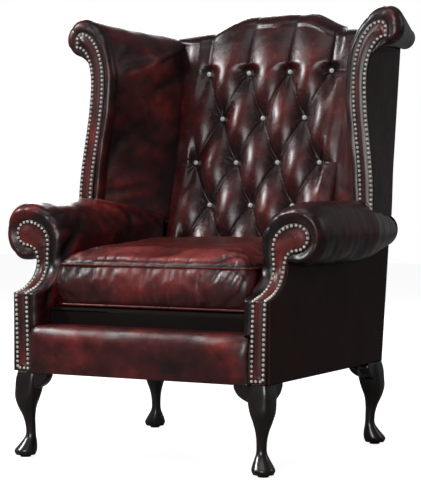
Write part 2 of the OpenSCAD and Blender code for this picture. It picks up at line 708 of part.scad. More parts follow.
// Seat frame
rail_front_y = 12;
post_x = inside_front_w / 2 + pad_t + fit;
front_rail_t = post_d + facing_t + fit - rail_front_y;
front_rail_rear_y = rail_front_y + front_rail_t;
back_post_x = panel_x(overall_rear_y) - panel_t - fit;
function back_post_front(z) = back_y(z) - panel_t - fit - back_post_d;
back_rail_front_y = back_post_front(rail_z) + (back_post_d - rail_t) / 2;

module front_rail()
    color(timber) seat()
    box([-post_x + fit, rail_front_y, rail_z], [post_x - fit, front_rail_rear_y, rail_top_z]);
module back_rail()
    color(timber) seat()
    box([-back_post_x + back_post_t + fit, back_rail_front_y, rail_z],
        [back_post_x - back_post_t - fit, back_rail_front_y + rail_t, rail_top_z]);
side_rail_front_y = front_rail_rear_y + fit;
side_rail_rear_y = back_post_front(rail_z) - fit;
function rail_x(y) = panel_x(y) - panel_t - fit - rail_t;
module side_rail()
    color(timber)
    plan_prism(
        [for (e = [[0, 0], [1, 0], [1, 1], [0, 1]])
            let (y = lerp(side_rail_front_y, side_rail_rear_y, e.y))
            [rail_x(y) + e.x * rail_t, y]],
        rail_z, rail_top_z);
module side_rail_left() seat(true) side_rail();
module side_rail_right() seat() side_rail();

block_leg = 75;
block_inset_z = 12;
module corner_blocks()
    color(timber)
    for (left = [false, true]) seat(left) {
        x0 = rail_x(side_rail_front_y + block_leg) - fit;
        y0 = side_rail_front_y;
        plan_prism([[x0, y0], [x0, y0 + block_leg], [x0 - block_leg, y0]],
                   rail_z + block_inset_z, rail_top_z - block_inset_z);
        x1 = back_post_x - back_post_t - fit;
        y1 = back_rail_front_y - fit;
        plan_prism([[x1, y1], [x1 - block_leg, y1], [x1, y1 - block_leg]],
                   rail_z + block_inset_z, rail_top_z - block_inset_z);
    }

// Arm section with its wall, from the tuck down to the front border's top
wall_low_z = border_top_z + seam_gap;
wall_front = offset_line(side_line(wall_low_z, arm_turn_z), -facing_t - fit);
wall_rows = len(wall_front);
function arm_section(y) = concat(
    arm_roll(y), arm_turn_over(y),
    [[wall_x(y), lerp(arm_turn(y), sweep_top_z, 0.5)]],
    [for (i = [2:wall_rows]) [wall_x(y), wall_front[wall_rows - i].y]]
);
roll_rows = arm_roll_n + 1 + arm_turn_n;
rear_pad_share = 0.5;
arm_post_y = back_post_front(arm_scroll_z - arm_rear_r) - fit;
function row_front_y(i) =
    i <= roll_rows ? wall_front[wall_rows - 1].x : wall_front[wall_rows - 1 - (i - roll_rows)].x;
// The roll's outer rows run on past the back post, and the others stop in front of it
outer_rows = 6;
function row_end_y(i) =
    i > 0 && i <= outer_rows ? arm_end_y :
    lerp(arm_post_y, inside_rear_y, clamp((i - arm_roll_n) / arm_turn_n, 0, 1));
arm_shares = [0, 0.09, 0.25, 0.512, 0.67, 0.84, 1];
function arm_grid(t) =
    [for (i = [0:roll_rows + wall_rows - 1])
        [for (s = arm_shares)
            let (
                y = lerp(row_front_y(i), row_end_y(i), s),
                thin = i <= outer_rows + 1 ? lerp(1, rear_pad_share, s ^ 4) : 1,
                p = offset_line(arm_section(y), t * thin)[i]
            )
            [p.x, y, p.y]]];
module arm_pad() color(leather) sheet(arm_grid(0), arm_grid(pad_t));
module arm_pad_left() seat(true) arm_pad();
module arm_pad_right() seat() arm_pad();

// Front post: its head fills the roll, and its front follows the sweep
post_section = offset_line(arm_section(sweep_d), pad_t + fit);
post_outer_x = panel_x(sweep_d + facing_t + post_d) - panel_t - fit;
post_line = concat(
    [[post_section[0].x - 3 * fit, post_section[0].y]],
    [for (i = [1:roll_rows]) [max(post_section[i].x, post_x), post_section[i].y]],
    [[post_x, body_z], [post_outer_x, body_z], [post_outer_x, arm_scroll_z - arm_scroll_r]]
);
post_n = sweep_n + 3;
post_front = offset_line(side_line(body_z, arm_scroll_z + arm_scroll_r), -facing_t - fit);
post_rear = offset_line(side_line(body_z, arm_scroll_z + arm_scroll_r), -facing_t - fit - post_d);
post_band = concat(post_front, [for (i = [1:post_n]) post_rear[post_n - i]]);
module front_post(left)
    color(timber)
    difference() {
        seat(left) intersection() {
            front_prism(post_line, -over, sweep_d + facing_t + post_d + over);
            side_prism(post_band, post_x - over, arm_scroll_x + arm_scroll_r);
        }
        bolt_hole(left, false);
    }
module front_post_left() front_post(true);
module front_post_right() front_post(false);

// Facing: a plate that follows the sweep
facing_n = post_n;
facing_front = side_line(body_z, arm_scroll_z + arm_scroll_r);
facing_back = offset_line(facing_front, -facing_t);
module arm_facing()
    color(facing_leather)
    intersection() {
        front_prism(arm_facing_line, -over, sweep_d + facing_t + over);
        side_prism(concat(facing_front, [for (i = [1:facing_n]) facing_back[facing_n - i]]),
                   arm_nail_x - facing_margin - over, arm_scroll_x + arm_scroll_r);
    }
module arm_facing_left() seat(true) arm_facing();
module arm_facing_right() seat() arm_facing();

// A domed nail: its head stands along +Z and its shank runs the other way.
// The shares are the rim's height and radius, and the flat top's radius.
nail_shares = [0.6, 0.78, 0.3];
module nail() {
    rim_h = nail_shares[0] * nail_h;
    rim_r = nail_shares[1] * nail_r;
    cylinder(r1 = nail_r, r2 = rim_r, h = rim_h);
    translate([0, 0, rim_h]) cylinder(r1 = rim_r, r2 = nail_shares[2] * nail_r, h = nail_h - rim_h);
    translate([0, 0, -nail_shank_l]) cylinder(r = nail_shank_r, h = nail_shank_l);
}
// Tilt of the sweep's surface at a height: 0 where it is upright
function sweep_tilt(z) =
    z <= sweep_z || z >= sweep_top_z ? 0 :
    let (a = front_y(z - seam_gap), b = front_y(z + seam_gap)) atan2(b - a, 2 * seam_gap);
arm_nail_path = concat(
    [for (p = arm_nail_line) [p.x, front_y(p.y), p.y]],
    [[arm_nail_line[0].x, 0, arm_nail_line[0].y]]
);
module arm_nails()
    color(brass)
    for (p = spaced(arm_nail_path, nail_pitch, true))
        translate(p) rotate([90 - sweep_tilt(p.z), 0, 0]) nail();
module arm_nails_left() seat(true) arm_nails();
module arm_nails_right() seat() arm_nails();

// Arm rail: the timber core of the roll
arm_rail_front_y = sweep_d + facing_t + post_d + 2 * fit;
arm_rail_rear_y = arm_post_y;
arm_rail_gap = 2;
arm_rail_steps = 4;
module arm_rail()
    color(timber)
    loft([for (s = [1 : -1 / arm_rail_steps : 0])
        let (
            y = lerp(arm_rail_front_y, arm_rail_rear_y, s),
            p = offset_line(arm_section(y), pad_t + arm_rail_gap)
        )
        [for (i = [0:roll_rows - 1]) [p[i].x, y, p[i].y]]]);
module arm_rail_left() seat(true) arm_rail();
module arm_rail_right() seat() arm_rail();

// Tacking rails along the insides of the arms
tack_rail_z = 320;
tack_rail_h = 30;
tack_rail_t = 18;
tack_rail_front_y =
    lookup(tack_rail_z + tack_rail_h, [for (p = post_rear) [p.y, p.x]]) + fit;
module arm_tack_rails()
    color(timber)
    for (left = [false, true]) seat(left)
        box([post_x, tack_rail_front_y, tack_rail_z],
            [post_x + tack_rail_t, back_post_front(tack_rail_z) - fit, tack_rail_z + tack_rail_h]);

// Outside arm: a thin panel that ends under the roll
panel_stations = [0, 0.35, 0.55, 0.7, 0.85, 1];
function panel_top(y) =
    min(arm_under(panel_x(y), y), arm_under(panel_x(y) - panel_t, y)) - 2 * seam_gap;
panel_front = offset_line(facing_front, -facing_t - fit);
outside_arm_line = concat(
    [[back_y(body_z), body_z]],
    [for (i = [0:sweep_n + 1]) panel_front[i]],
    [for (s = panel_stations) let (y = lerp(sweep_d + facing_t + fit, back_y(arm_scroll_z - arm_rear_r), s))
        [y, panel_top(min(y, arm_end_y))]]
);
module outside_arm()
    color(dark_leather)
    intersection() {
        side_prism(outside_arm_line, body_rear_w / 2 - panel_t - over - body_d * plan_taper,
                   body_front_w / 2 + over);
        plan_prism(
            [for (e = [[-over, 0], [back_y(crest_z), 0], [back_y(crest_z), -panel_t], [-over, -panel_t]])
                [panel_x(e.x) + e.y, e.x]],
            body_z - over, arm_scroll_z);
    }
module outside_arm_left() seat(true) outside_arm();
module outside_arm_right() seat() outside_arm();

// Wing pad
wing_rows = len(wing_inner_line);
wing_shares = [0, 0.2, 0.45, 0.72, 1];
function wing_grid(t) =
    let (
        front = offset_line(wing_inner_line, t),
        line = wing_rear_line(),
        flat = offset_line([for (p = line) [p.x, p.z]], t * wing_rear_t / pad_t)
    )
    [for (i = [0:wing_rows - 1])
        [for (s = wing_shares)
            let (
                a = [front[i].x, wing_y(front[i].y) + facing_t + fit, front[i].y],
                b = [flat[i].x, line[i].y, flat[i].y],
                p = lerp(a, b, s)
            )
            i == wing_rows - 1
            ? [p.x, p.y, arm_surface(max(p.x, wall_x(p.y)), p.y) + 3 * seam_gap]
            : p]];
module wing_pad() color(leather) sheet(wing_grid(0), wing_grid(pad_t));
module wing_pad_left() seat(true) wing_pad();
module wing_pad_right() seat() wing_pad();

// Wing post, facing and nails stand in the wing's leaning front plane
wing_post_d = 34;
wing_post_gap = 3;
wing_post_rear = facing_t + fit + wing_post_d;
// The wing draws in towards the back, so the post's outer side keeps to the section at its rear
wing_post_share = wing_post_rear / (wing_end_y - wing_y(wing_scroll_z));
wing_post_section = offset_line(wing_inner_line, pad_t + wing_post_gap);
wing_rear_section =
    offset_line([for (p = wing_rear_line()) [p.x, p.z]], wing_rear_t + wing_post_gap);
function wing_post_x(z) =
    lerp(wing_outer_x(z), panel_x(back_y(z)), wing_post_rear / (back_y(z) - wing_y(z)))
    - panel_t - wing_post_gap;
function wing_base(x) =
    max(arm_surface(x, wing_front_y), arm_surface(x, wing_front_y + wing_post_rear)) + 2 * seam_gap;
wing_post_line = concat(
    [for (i = [0:wing_rows - 2])
        i <= wing_roll_n
        ? lerp(wing_post_section[i], wing_rear_section[i], wing_post_share) - [i == 0 ? wing_post_gap : 0, 0]
        : wing_post_section[i]],
    [for (i = [0:4])
        let (x = lerp(wing_post_section[wing_rows - 1].x, wing_post_x(wing_foot_z), i / 4))
        [x, wing_base(x)]],
    [for (i = [1:8])
        let (z = lerp(wing_foot_z, cove_top_z - pad_t, i / 8))
        [wing_post_x(z), z]]
);
module wing_slab(outline, a, b)
    sloped_prism(outline, wing_foot_z - pad_half_w, wing_top_z + over,
                 wing_y(wing_foot_z - pad_half_w), wing_y(wing_top_z + over), a, b);
module wing_post()
    color(timber) wing_slab(wing_post_line, facing_t + fit, wing_post_rear);
module wing_post_left() seat(true) wing_post();
module wing_post_right() seat() wing_post();

wing_nail_shares = [0.49, 0.42, 0.97];
wing_nail_waist_x = wing_waist_x + wing_nail_shares[0] * wing_waist_w;
wing_nail_foot_x = wing_foot_x + wing_nail_shares[1] * wing_foot_w;
wing_nail_w = wing_nail_shares[2] * arm_nail_w;
// The cap's radius and its centre's place, then the drop of the row's return, as shares
wing_cap_shares = [0.28, -0.06, -0.11, 0.4];
wing_cap_r = wing_cap_shares[0] * wing_scroll_r;
wing_cap_x = wing_scroll_x + wing_cap_shares[1] * wing_scroll_r;
wing_cap_z = wing_scroll_z + wing_cap_shares[2] * wing_scroll_r;
wing_return_z = wing_cap_z - wing_cap_shares[3] * wing_scroll_r;
wing_low_n = 6;
wing_bend_n = 7;
wing_cap_n = 3;
function wing_row_x(z, outer) =
    lerp(wing_nail_waist_x, wing_nail_foot_x, waist_share(z)) + (outer ? wing_nail_w : 0);
wing_nail_line = concat(
    [for (i = [0:wing_low_n])
        let (z = lerp(wing_foot_z + nail_r / 2, wing_waist_z, i / wing_low_n))
        [wing_row_x(z, false), z]],
    [for (i = [1:wing_bend_n]) let (t = 180 - 90 * i / wing_bend_n)
        [wing_cap_x + (wing_cap_x - wing_nail_waist_x) * cos(t),
         wing_waist_z + (wing_cap_z + wing_cap_r - wing_waist_z) * sin(t)]],
    [for (i = [1:wing_cap_n]) let (t = 90 - 90 * i / wing_cap_n)
        [wing_cap_x + wing_cap_r * cos(t), wing_cap_z + wing_cap_r * sin(t)]],
    [for (i = [1:wing_low_n])
        let (t = 90 + 90 * i / wing_low_n, ox = wing_cap_x + wing_cap_r)
        [ox + (ox - wing_nail_waist_x - wing_nail_w) * cos(t),
         wing_waist_z + (wing_return_z - wing_waist_z) * sin(t)]],
    [for (i = [1:wing_low_n])
        let (z = lerp(wing_waist_z, wing_foot_z - 2 * nail_pitch, i / wing_low_n))
        [wing_row_x(z, true), z]]
);
wing_facing_edge = offset_line(wing_nail_line, facing_margin);
wing_facing_line = concat(
    [for (i = [1:len(wing_facing_edge) - 2]) wing_facing_edge[i]],
    [for (i = [0:wing_low_n])
        let (
            a = wing_row_x(wing_foot_z, true) + facing_margin,
            b = wing_row_x(wing_foot_z, false) - facing_margin,
            x = lerp(a, b, i / wing_low_n)
        )
        [x, arm_surface(x, wing_front_y) + 2 * seam_gap]]
);
module wing_facing() color(facing_leather) wing_slab(wing_facing_line, 0, facing_t);
module wing_facing_left() seat(true) wing_facing();
module wing_facing_right() seat() wing_facing();
module wing_nails()
    color(brass)
    for (p = spaced(wing_nail_line, nail_pitch, false))
        translate([p.x, wing_y(p.y), p.y]) rotate([90 - wing_angle, 0, 0]) nail();
module wing_nails_left() seat(true) wing_nails();
module wing_nails_right() seat() wing_nails();

// Outside wing: a ruled panel from the wing's front edge to the chair's rear corner
outside_rows = 8;
panel_top_share = 0.9;
outside_shares = [0, 0.33, 0.67, 1];
function outside_point(i, s, t) =
    let (
        zf = lerp(wing_foot_z, cove_top_z, max(0, i - 1) / (outside_rows - 1)),
        zr = lerp(wing_foot_z, wing_rear_z - panel_top_share * wing_rear_r,
                  max(0, i - 1) / (outside_rows - 1)),
        yf = wing_y(zf) + facing_t + fit,
        x = lerp(wing_outer_x(i == 0 ? wing_foot_z : zf), panel_x(back_y(zr)), s) - t,
        y = lerp(yf, back_y(zr), s)
    )
    [x, y, i == 0 ? arm_surface(x, min(y, arm_end_y)) + 2 * seam_gap : lerp(zf, zr, s)];
function outside_grid(t) =
    [for (i = [0:outside_rows]) [for (s = outside_shares) outside_point(outside_rows - i, s, t)]];
module outside_wing() color(dark_leather) sheet(outside_grid(panel_t), outside_grid(0));
module outside_wing_left() seat(true) outside_wing();
module outside_wing_right() seat() outside_wing();

// Wing top rail: a round bar through the roll, from the wing post to the back post
top_rail_r = 11;
top_rail_sides = 12;
module wing_top_rail()
    color(timber)
    loft([for (s = [1, 0])
        let (
            a = [wing_scroll_x - wing_scroll_r / 4,
                 wing_y(wing_scroll_z + top_rail_r) + wing_post_rear + fit / 2, wing_scroll_z],
            b = [wing_rear_x, wing_end_y - 2 * fit, wing_rear_z],
            c = lerp(a, b, s)
        )
        [for (k = [0:top_rail_sides - 1])
            let (t = 360 * k / top_rail_sides)
            c + top_rail_r * [cos(t), 0, sin(t)]]]);
module wing_top_rail_left() seat(true) wing_top_rail();
module wing_top_rail_right() seat() wing_top_rail();

// Back frame
back_post_top_z = wing_rear_z - wing_rear_r - 2 * fit;
module back_post(left)
    color(timber)
    difference() {
        seat(left) side_prism(
            [[back_post_front(body_z), body_z], [back_post_front(body_z) + back_post_d, body_z],
             [back_post_front(back_post_top_z) + back_post_d, back_post_top_z],
             [back_post_front(back_post_top_z), back_post_top_z]],
            back_post_x - back_post_t, back_post_x);
        bolt_hole(left, true);
    }
module back_post_left() back_post(true);
module back_post_right() back_post(false);

crest_rail_t = 25;
crest_rail_rise = 32;
crest_rail_z = tuft_top_z + crest_rail_rise;
crest_rail_x = back_post_x - back_post_t - fit;
crest_steps = 14;
crest_rail_in = -panel_t - crest_rail_gap + 2 * fit + over;
module crest_rail()
    color(timber) seat()
    sloped_prism(
        concat(
            [for (i = [0:crest_steps])
                let (x = lerp(-crest_rail_x, crest_rail_x, i / crest_steps))
                [x, pad_front_top(x) - 2 * fit]],
            [[crest_rail_x, crest_rail_z], [-crest_rail_x, crest_rail_z]]
        ),
        crest_rail_z - over, crest_z, back_y(crest_rail_z - over), back_y(crest_z),
        crest_rail_in, crest_rail_in + crest_rail_t);

back_tack_z = tack_rail_z + tack_rail_h + fit;
back_tack_h = 40;
back_tack_y = pad_rear_y(back_tack_z + back_tack_h) + 2 * fit;
slat_t = 20;
slat_w = 25;
slat_in = 14;
slat_x = pad_half_w - slat_in;
strap_t = 1.4;
module back_tack_rail()
    color(timber) seat()
    box([-post_x - tack_rail_t, back_tack_y, back_tack_z],
        [post_x + tack_rail_t, back_tack_y + slat_t, back_tack_z + back_tack_h]);
function slat_y(z) = pad_rear_y(z) + strap_t + 2 * fit;
module back_slats()
    color(timber)
    for (left = [false, true]) seat(left)
        side_prism(
            [[slat_y(back_tack_z + back_tack_h + fit), back_tack_z + back_tack_h + fit],
             [slat_y(back_tack_z + back_tack_h + fit) + slat_t, back_tack_z + back_tack_h + fit],
             [slat_y(crest_rail_z - fit) + slat_t, crest_rail_z - fit],
             [slat_y(crest_rail_z - fit), crest_rail_z - fit]],
            slat_x, slat_x + slat_w);
strap_w = 50;
strap_n = 5;
module back_webbing()
    color(cloth) seat()
    for (i = [0:strap_n - 1]) {
        z = lerp(back_tack_z + back_tack_h + strap_w / 2, crest_rail_z - 2 * strap_w, i / (strap_n - 1));
        side_prism(
            [for (e = [[0, 0], [0, 1], [1, 1], [1, 0]])
                [slat_y(z + e.y * strap_w) - fit / 2 - strap_t * (1 - e.x), z + e.y * strap_w]],
            -slat_x - slat_w, slat_x + slat_w);
    }

// Back pad
grid_step = 3;
side_cols = 2;
middle_cols = 2 * tuft_half_columns * grid_step;
pad_columns = concat(
    [for (i = [side_cols:-1:1]) [-tuft_half_columns, -i / side_cols]],
    [for (i = [-middle_cols:middle_cols]) [tuft_half_columns * i / middle_cols, 0]],
    [for (i = [1:side_cols]) [tuft_half_columns, i / side_cols]]
);
function column_x(c, z) =
    c.x * tuft_pitch + c.y * (pad_edge(z) - tuft_half_columns * tuft_pitch);
pad_low_z = deck_z + seam_gap;
low_rows = 3;
top_rows = 3;
pad_heights = concat(
    [for (i = [0:low_rows - 1]) [lerp(pad_low_z, row_z(tuft_rows - 1), i / low_rows), 0]],
    [for (i = [(tuft_rows - 1) * grid_step : -1 : 0]) [row_z(i / grid_step), 0]],
    [for (i = [1:top_rows]) [0, i / top_rows]]
);
function pad_height(h, x) = h.y == 0 ? h.x : lerp(tuft_top_z, pad_front_top(x), h.y);
roll_angles = [150, 118, 90, 55, 20, 0];
crest_lap = 6;
function pad_outer(c, h) =
    let (z0 = pad_height(h, column_x(c, tuft_top_z)), x = column_x(c, z0), z = pad_height(h, x))
    [x, pad_y(x, z), z];
// The crest rolls over from the front surface to the outside back
function crest_point(c, t, inner) =
    let (
        x = column_x(c, shoulder_z),
        z = pad_front_top(x),
        front = inner ? pad_rear_y(z) : pad_y(x, z),
        rear = back_y(z) - panel_t - seam_gap - (inner ? crest_lap : 0),
        h = inner ? seam_gap + crest_roll_h / 4 : crest_roll_h
    )
    [x, lerp(rear, front, 0.5 - 0.5 * cos(t)), z + h * sin(t)];
pad_front_grid = concat(
    [for (h = pad_heights) [for (c = pad_columns) pad_outer(c, h)]],
    [for (t = roll_angles) [for (c = pad_columns) crest_point(c, t, false)]]
);
pad_back_grid = concat(
    [for (h = pad_heights) [for (c = pad_columns)
        let (p = pad_outer(c, h)) [p.x, pad_rear_y(p.z), p.z]]],
    [for (t = roll_angles) [for (c = pad_columns) crest_point(c, t, true)]]
);
module back_pad() color(leather) seat() sheet(pad_front_grid, pad_back_grid);

// A button: a low cone under a domed top, as shares of its radius out and up
button_shares = [[0.3, 0], [1, 0.5], [0.85, 0.85], [0.4, 1.2]];
module button() {
    r = button_r;
    for (i = [0:len(button_shares) - 2]) {
        a = button_shares[i] * r;
        b = button_shares[i + 1] * r;
        translate([0, 0, fit + a.y]) cylinder(r1 = a.x, r2 = b.x, h = b.y - a.y);
    }
}
module back_buttons()
    color(brass) seat()
    for (k = [0:tuft_rows - 1])
        for (u = [-tuft_half_columns + (k % 2) / 2 : tuft_half_columns])
            translate([u * tuft_pitch, tuft_y(row_z(k)), row_z(k)])
            rotate([90 - tuft_angle, 0, 0]) button();

module outside_back()
    color(dark_leather) seat()
    sloped_prism(
        concat(
            [for (i = [0:crest_steps])
                let (x = lerp(-1, 1, i / crest_steps) * (back_post_x))
                [x, pad_front_top(x) - 2 * seam_gap]],
            [[back_post_x, body_z], [-back_post_x, body_z]]
        ),
        body_z, crest_z, back_y(body_z), back_y(crest_z), -panel_t, 0);

// Suspension and deck
clip_t = 2;
clip_w = 30;
clip_d = 16;
spring_end_gap = 0.2;
spring_z = rail_top_z + clip_t + spring_wire / 2 + spring_end_gap;
spring_front_y = front_rail_rear_y - clip_d;
spring_rear_y = back_rail_front_y + clip_d / 2;
deck_t = 13;
deck_low_z = deck_z - deck_t;
spring_bow = deck_low_z - spring_wire / 2 - fit - spring_z;
spring_turns = 11;
spring_bend = (spring_rear_y - spring_front_y) / spring_turns / 2;
spring_steps = 3;
wire_sides = 5;
spring_reach_share = 1.1;
spring_reach = spring_reach_share * spring_bend;
function spring_path(x) =
    [for (i = [0:spring_turns - 1]) for (k = [0:spring_steps])
        let (
            side = i % 2 == 0 ? 1 : -1,
            t = lerp(-90, 90, k / spring_steps),
            y = spring_front_y + spring_bend * (2 * i + 1 + sin(t)),
            v = (y - spring_front_y) / (spring_rear_y - spring_front_y)
        )
        [x + side * (spring_reach + spring_bend * cos(t)), y, spring_z + spring_bow * sin(180 * v)]];
function wire_ring(p, d, r, sides) =
    let (side = unit(cross(d, [0, 0, 1])), up = cross(side, unit(d)))
    [for (k = [0:sides - 1]) p + r * (cos(360 * k / sides) * side - sin(360 * k / sides) * up)];
spring_half = spring_reach + spring_bend + spring_wire;
spring_x = [for (i = [0:spring_count - 1])
    (i - (spring_count - 1) / 2) * (inside_rear_w - 2 * spring_half) / max(1, spring_count - 1)];
module seat_springs()
    color(steel) seat()
    for (x = spring_x) {
        p = spring_path(x);
        n = len(p);
        loft([for (i = [0:n - 1])
            wire_ring(p[i], p[min(i + 1, n - 1)] - p[max(i - 1, 0)], spring_wire / 2, wire_sides)]);
    }
module spring_clips()
    color(steel) seat()
    for (x = spring_x) for (y = [spring_front_y - clip_d / 2, spring_rear_y - clip_d / 2])
        box([x - clip_w / 2, y, rail_top_z], [x + clip_w / 2, y + clip_d, rail_top_z + clip_t]);

deck_riser_t = 6;
deck_lap = 5;
deck_gap = 1;
module seat_deck()
    color(dark_leather) seat() {
        plan_prism(
            [for (e = [[-1, 0], [1, 0], [1, 1], [-1, 1]])
                let (y = lerp(deck_front_y, inside_rear_y + deck_lap, e.y))
                [e.x * (wall_x(y) - deck_gap), y]],
            deck_low_z, deck_z);
        riser_x = wall_x(deck_front_y + deck_riser_t) - deck_gap;
        box([-riser_x, deck_front_y, border_top_z + fit / 2],
            [riser_x, deck_front_y + deck_riser_t, deck_low_z]);
    }
// The dust cover ends at the middle of each rail, and is notched round the legs
dust_leg_gap = 8;
dust_knee_gap = 4;
dust_drop = 1.6;
module dust_cover()
    color(cloth) seat() {
        a = leg_corner_x - ear_reach - dust_knee_gap;
        b = rail_x(mid_y) + rail_t / 2;
        y0 = rail_front_y + front_rail_t / 2;
        y1 = ear_reach + dust_leg_gap;
        y2 = leg_rear_y - ear_reach - dust_leg_gap;
        y3 = back_rail_front_y + rail_t / 2;
        plan_prism([[-a, y0], [a, y0], [a, y1], [b, y1], [b, y2], [a, y2], [a, y3], [-a, y3],
                    [-a, y2], [-b, y2], [-b, y1], [-a, y1]], rail_z - dust_drop, rail_z - fit);
    }

border_flap_t = 2.8;
border_x = row_x(body_z, false) - facing_margin - fit;
border_lip = 2;
border_fold = 3;
border_n = 8;
// Where the bulge starts and how far it runs, as shares of a half wave, and its fullness
border_shares = [0.1, 0.72, 0.7];
module front_border()
    color(leather) seat()
    side_prism(
        concat(
            [[border_lip, body_z - border_lip]],
            [for (i = [0:border_n])
                let (s = i / border_n, wave = sin(180 * (border_shares[0] + border_shares[1] * s)))
                [-border_bulge * wave ^ border_shares[2],
                 lerp(body_z - border_lip, border_top_z - border_fold, s)]],
            [[rail_front_y / 2, border_top_z], [deck_front_y + deck_riser_t, border_top_z],
             [deck_front_y + deck_riser_t, border_top_z - border_flap_t],
             [rail_front_y - fit, border_top_z - border_flap_t],
             [rail_front_y - fit, rail_z + fit], [border_lip, rail_z + fit]]
        ),
        -border_x, border_x);

// Cushion
core_gap = 2.8;
core_edge = 3;
module cushion_core() {
    gap = cover_t + core_gap;
    low = [
        [gap + core_edge, cushion_low_z - core_edge], [gap, cushion_low_z],
        [gap, lerp(cushion_low_z, cushion_seam_z, 1 / 2)], [gap, cushion_seam_z - fit]
    ];
    last = len(crown_shares) - 1;
    color("#d8cfa8") seat()
    loft(concat(
        [for (r = low) band_ring(r.x, r.y)],
        [for (i = [last:-1:0]) crown_ring(i == last ? gap + piping_r : gap, crown_shares[i], gap)]
    ));
}
// The top and bottom panels end just inside the piping
panel_inset = piping_r + 3 * fit;
module cushion_top()
    color(leather) seat()
    loft(concat(
        [for (s = crown_shares) crown_ring(panel_inset, s, cover_t / 2)],
        [for (i = [len(crown_shares) - 1 : -1 : 0]) crown_ring(panel_inset, crown_shares[i], -cover_t / 2)]
    ));
module cushion_band()
    color(leather) seat() {
        low = cushion_low_z + piping_r + fit;
        high = cushion_seam_z - piping_r - fit;
        heights = [low, (low + high) / 2, high];
        outer = [for (z = heights) band_ring(0, z)];
        inner = [for (z = heights) band_ring(cover_t, z)];
        ring_solid([for (j = [0:len(outer[0]) - 1])
            [outer[0][j], outer[1][j], outer[2][j], inner[2][j], inner[1][j], inner[0][j]]]);
    }
deck_clear = 0.3;
module cushion_bottom()
    color(dark_leather) seat()
    plan_prism(cushion_line(panel_inset), deck_z + deck_clear, deck_z + deck_clear + cover_t);
piping_sides = 5;
module cushion_piping()
    color(leather) seat()
    for (z = [cushion_low_z, cushion_seam_z]) {
        line = cushion_line(0);
        n = len(line);
        ring_solid([for (j = [0:n - 1])
            let (p = line[j], d = unit(line[(j + 1) % n] - line[(j + n - 1) % n]))
            round_section([p.x, p.y, z], d, piping_r, piping_sides)]);
    }

// Zip along the cushion's rear
zip_half = 170;
zip_z = cushion_low_z + cushion_band_h / 2;
tape_h = 26;
tape_t = 1.2;
teeth_h = 5;
teeth_t = 1.8;
zip_gap = 0.2;
zip_play = 0.3;
zip_y = cushion_rear_y + zip_gap;
teeth_y = zip_y + tape_t;
module cushion_zip()
    color(cloth) seat() {
        box([-zip_half, zip_y, zip_z - tape_h / 2], [zip_half, teeth_y, zip_z + tape_h / 2]);
        box([-zip_half, teeth_y, zip_z - teeth_h / 2], [zip_half, teeth_y + teeth_t, zip_z + teeth_h / 2]);
    }
slider_l = 11;
slider_h = 10;
slider_t = 1.2;
tab_l = 22;
tab_share = 0.25;
module zip_pull()
    color(brass) seat() {
        x0 = -zip_half + slider_l;
        x1 = x0 + slider_l;
        y0 = teeth_y + zip_play;
        y1 = y0 + teeth_t + slider_t;
        low_z = zip_z - slider_h / 2;
        slot = teeth_h / 2 + zip_play;
        difference() {
            box([x0, y0, low_z], [x1, y1, zip_z + slider_h / 2]);
            box([x0 - over, y0 - over, zip_z - slot], [x1 + over, y0 + teeth_t, zip_z + slot]);
        }
        box([lerp(x0, x1, tab_share), y1 - slider_t, low_z - tab_l], [lerp(x1, x0, tab_share), y1, low_z]);
    }

front_rail();
back_rail();
side_rail_left();
side_rail_right();
corner_blocks();
front_post_left();
front_post_right();
arm_rail_left();
arm_rail_right();
arm_tack_rails();
back_post_left();
back_post_right();
crest_rail();
back_tack_rail();
back_slats();
wing_post_left();
wing_post_right();
wing_top_rail_left();
wing_top_rail_right();
leg_front_left();
leg_front_right();
leg_rear_left();
leg_rear_right();
knee_blocks();
leg_bolts();
foot_glides();
seat_springs();
spring_clips();
seat_deck();
back_webbing();
dust_cover();
front_border();
arm_pad_left();
arm_pad_right();
arm_facing_left();
arm_facing_right();
arm_nails_left();
arm_nails_right();
outside_arm_left();
outside_arm_right();
wing_pad_left();
wing_pad_right();
wing_facing_left();
wing_facing_right();
wing_nails_left();
wing_nails_right();
outside_wing_left();
outside_wing_right();
back_pad();
back_buttons();
outside_back();
cushion_core();
cushion_top();
cushion_band();
cushion_bottom();
cushion_piping();
cushion_zip();
zip_pull();
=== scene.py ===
# %% [markdown]
# # A scroll-wing armchair in oxblood leather
#
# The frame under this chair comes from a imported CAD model: timber, springs, legs, pads and
# panels at their real sizes. This lesson dresses it. Every soft piece is a surface worked out
# with numpy from a few sizes in millimetres, and every finish is built from shader nodes.

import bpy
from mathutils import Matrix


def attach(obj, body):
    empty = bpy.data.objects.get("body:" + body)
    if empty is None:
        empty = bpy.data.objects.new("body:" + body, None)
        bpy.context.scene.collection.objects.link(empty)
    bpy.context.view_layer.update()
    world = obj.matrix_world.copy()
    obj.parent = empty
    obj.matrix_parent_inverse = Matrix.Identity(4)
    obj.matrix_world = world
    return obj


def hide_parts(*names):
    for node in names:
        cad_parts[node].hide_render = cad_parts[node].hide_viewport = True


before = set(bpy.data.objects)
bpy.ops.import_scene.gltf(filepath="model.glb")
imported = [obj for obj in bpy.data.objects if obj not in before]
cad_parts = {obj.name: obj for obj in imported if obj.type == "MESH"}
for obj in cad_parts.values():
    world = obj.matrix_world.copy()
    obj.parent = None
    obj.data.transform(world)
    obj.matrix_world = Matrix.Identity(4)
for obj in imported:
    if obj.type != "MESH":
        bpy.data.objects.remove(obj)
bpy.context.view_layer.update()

import bpy
import numpy as np

# %% [markdown]
# ## Working in the chair's own measures
#
# Upholsterers measure from the front. Here x runs across the chair, y runs back from the front
# of the arm facings and z runs up from the floor, all in millimetres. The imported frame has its
# origin under the middle of the chair, so one function moves a finished surface there.

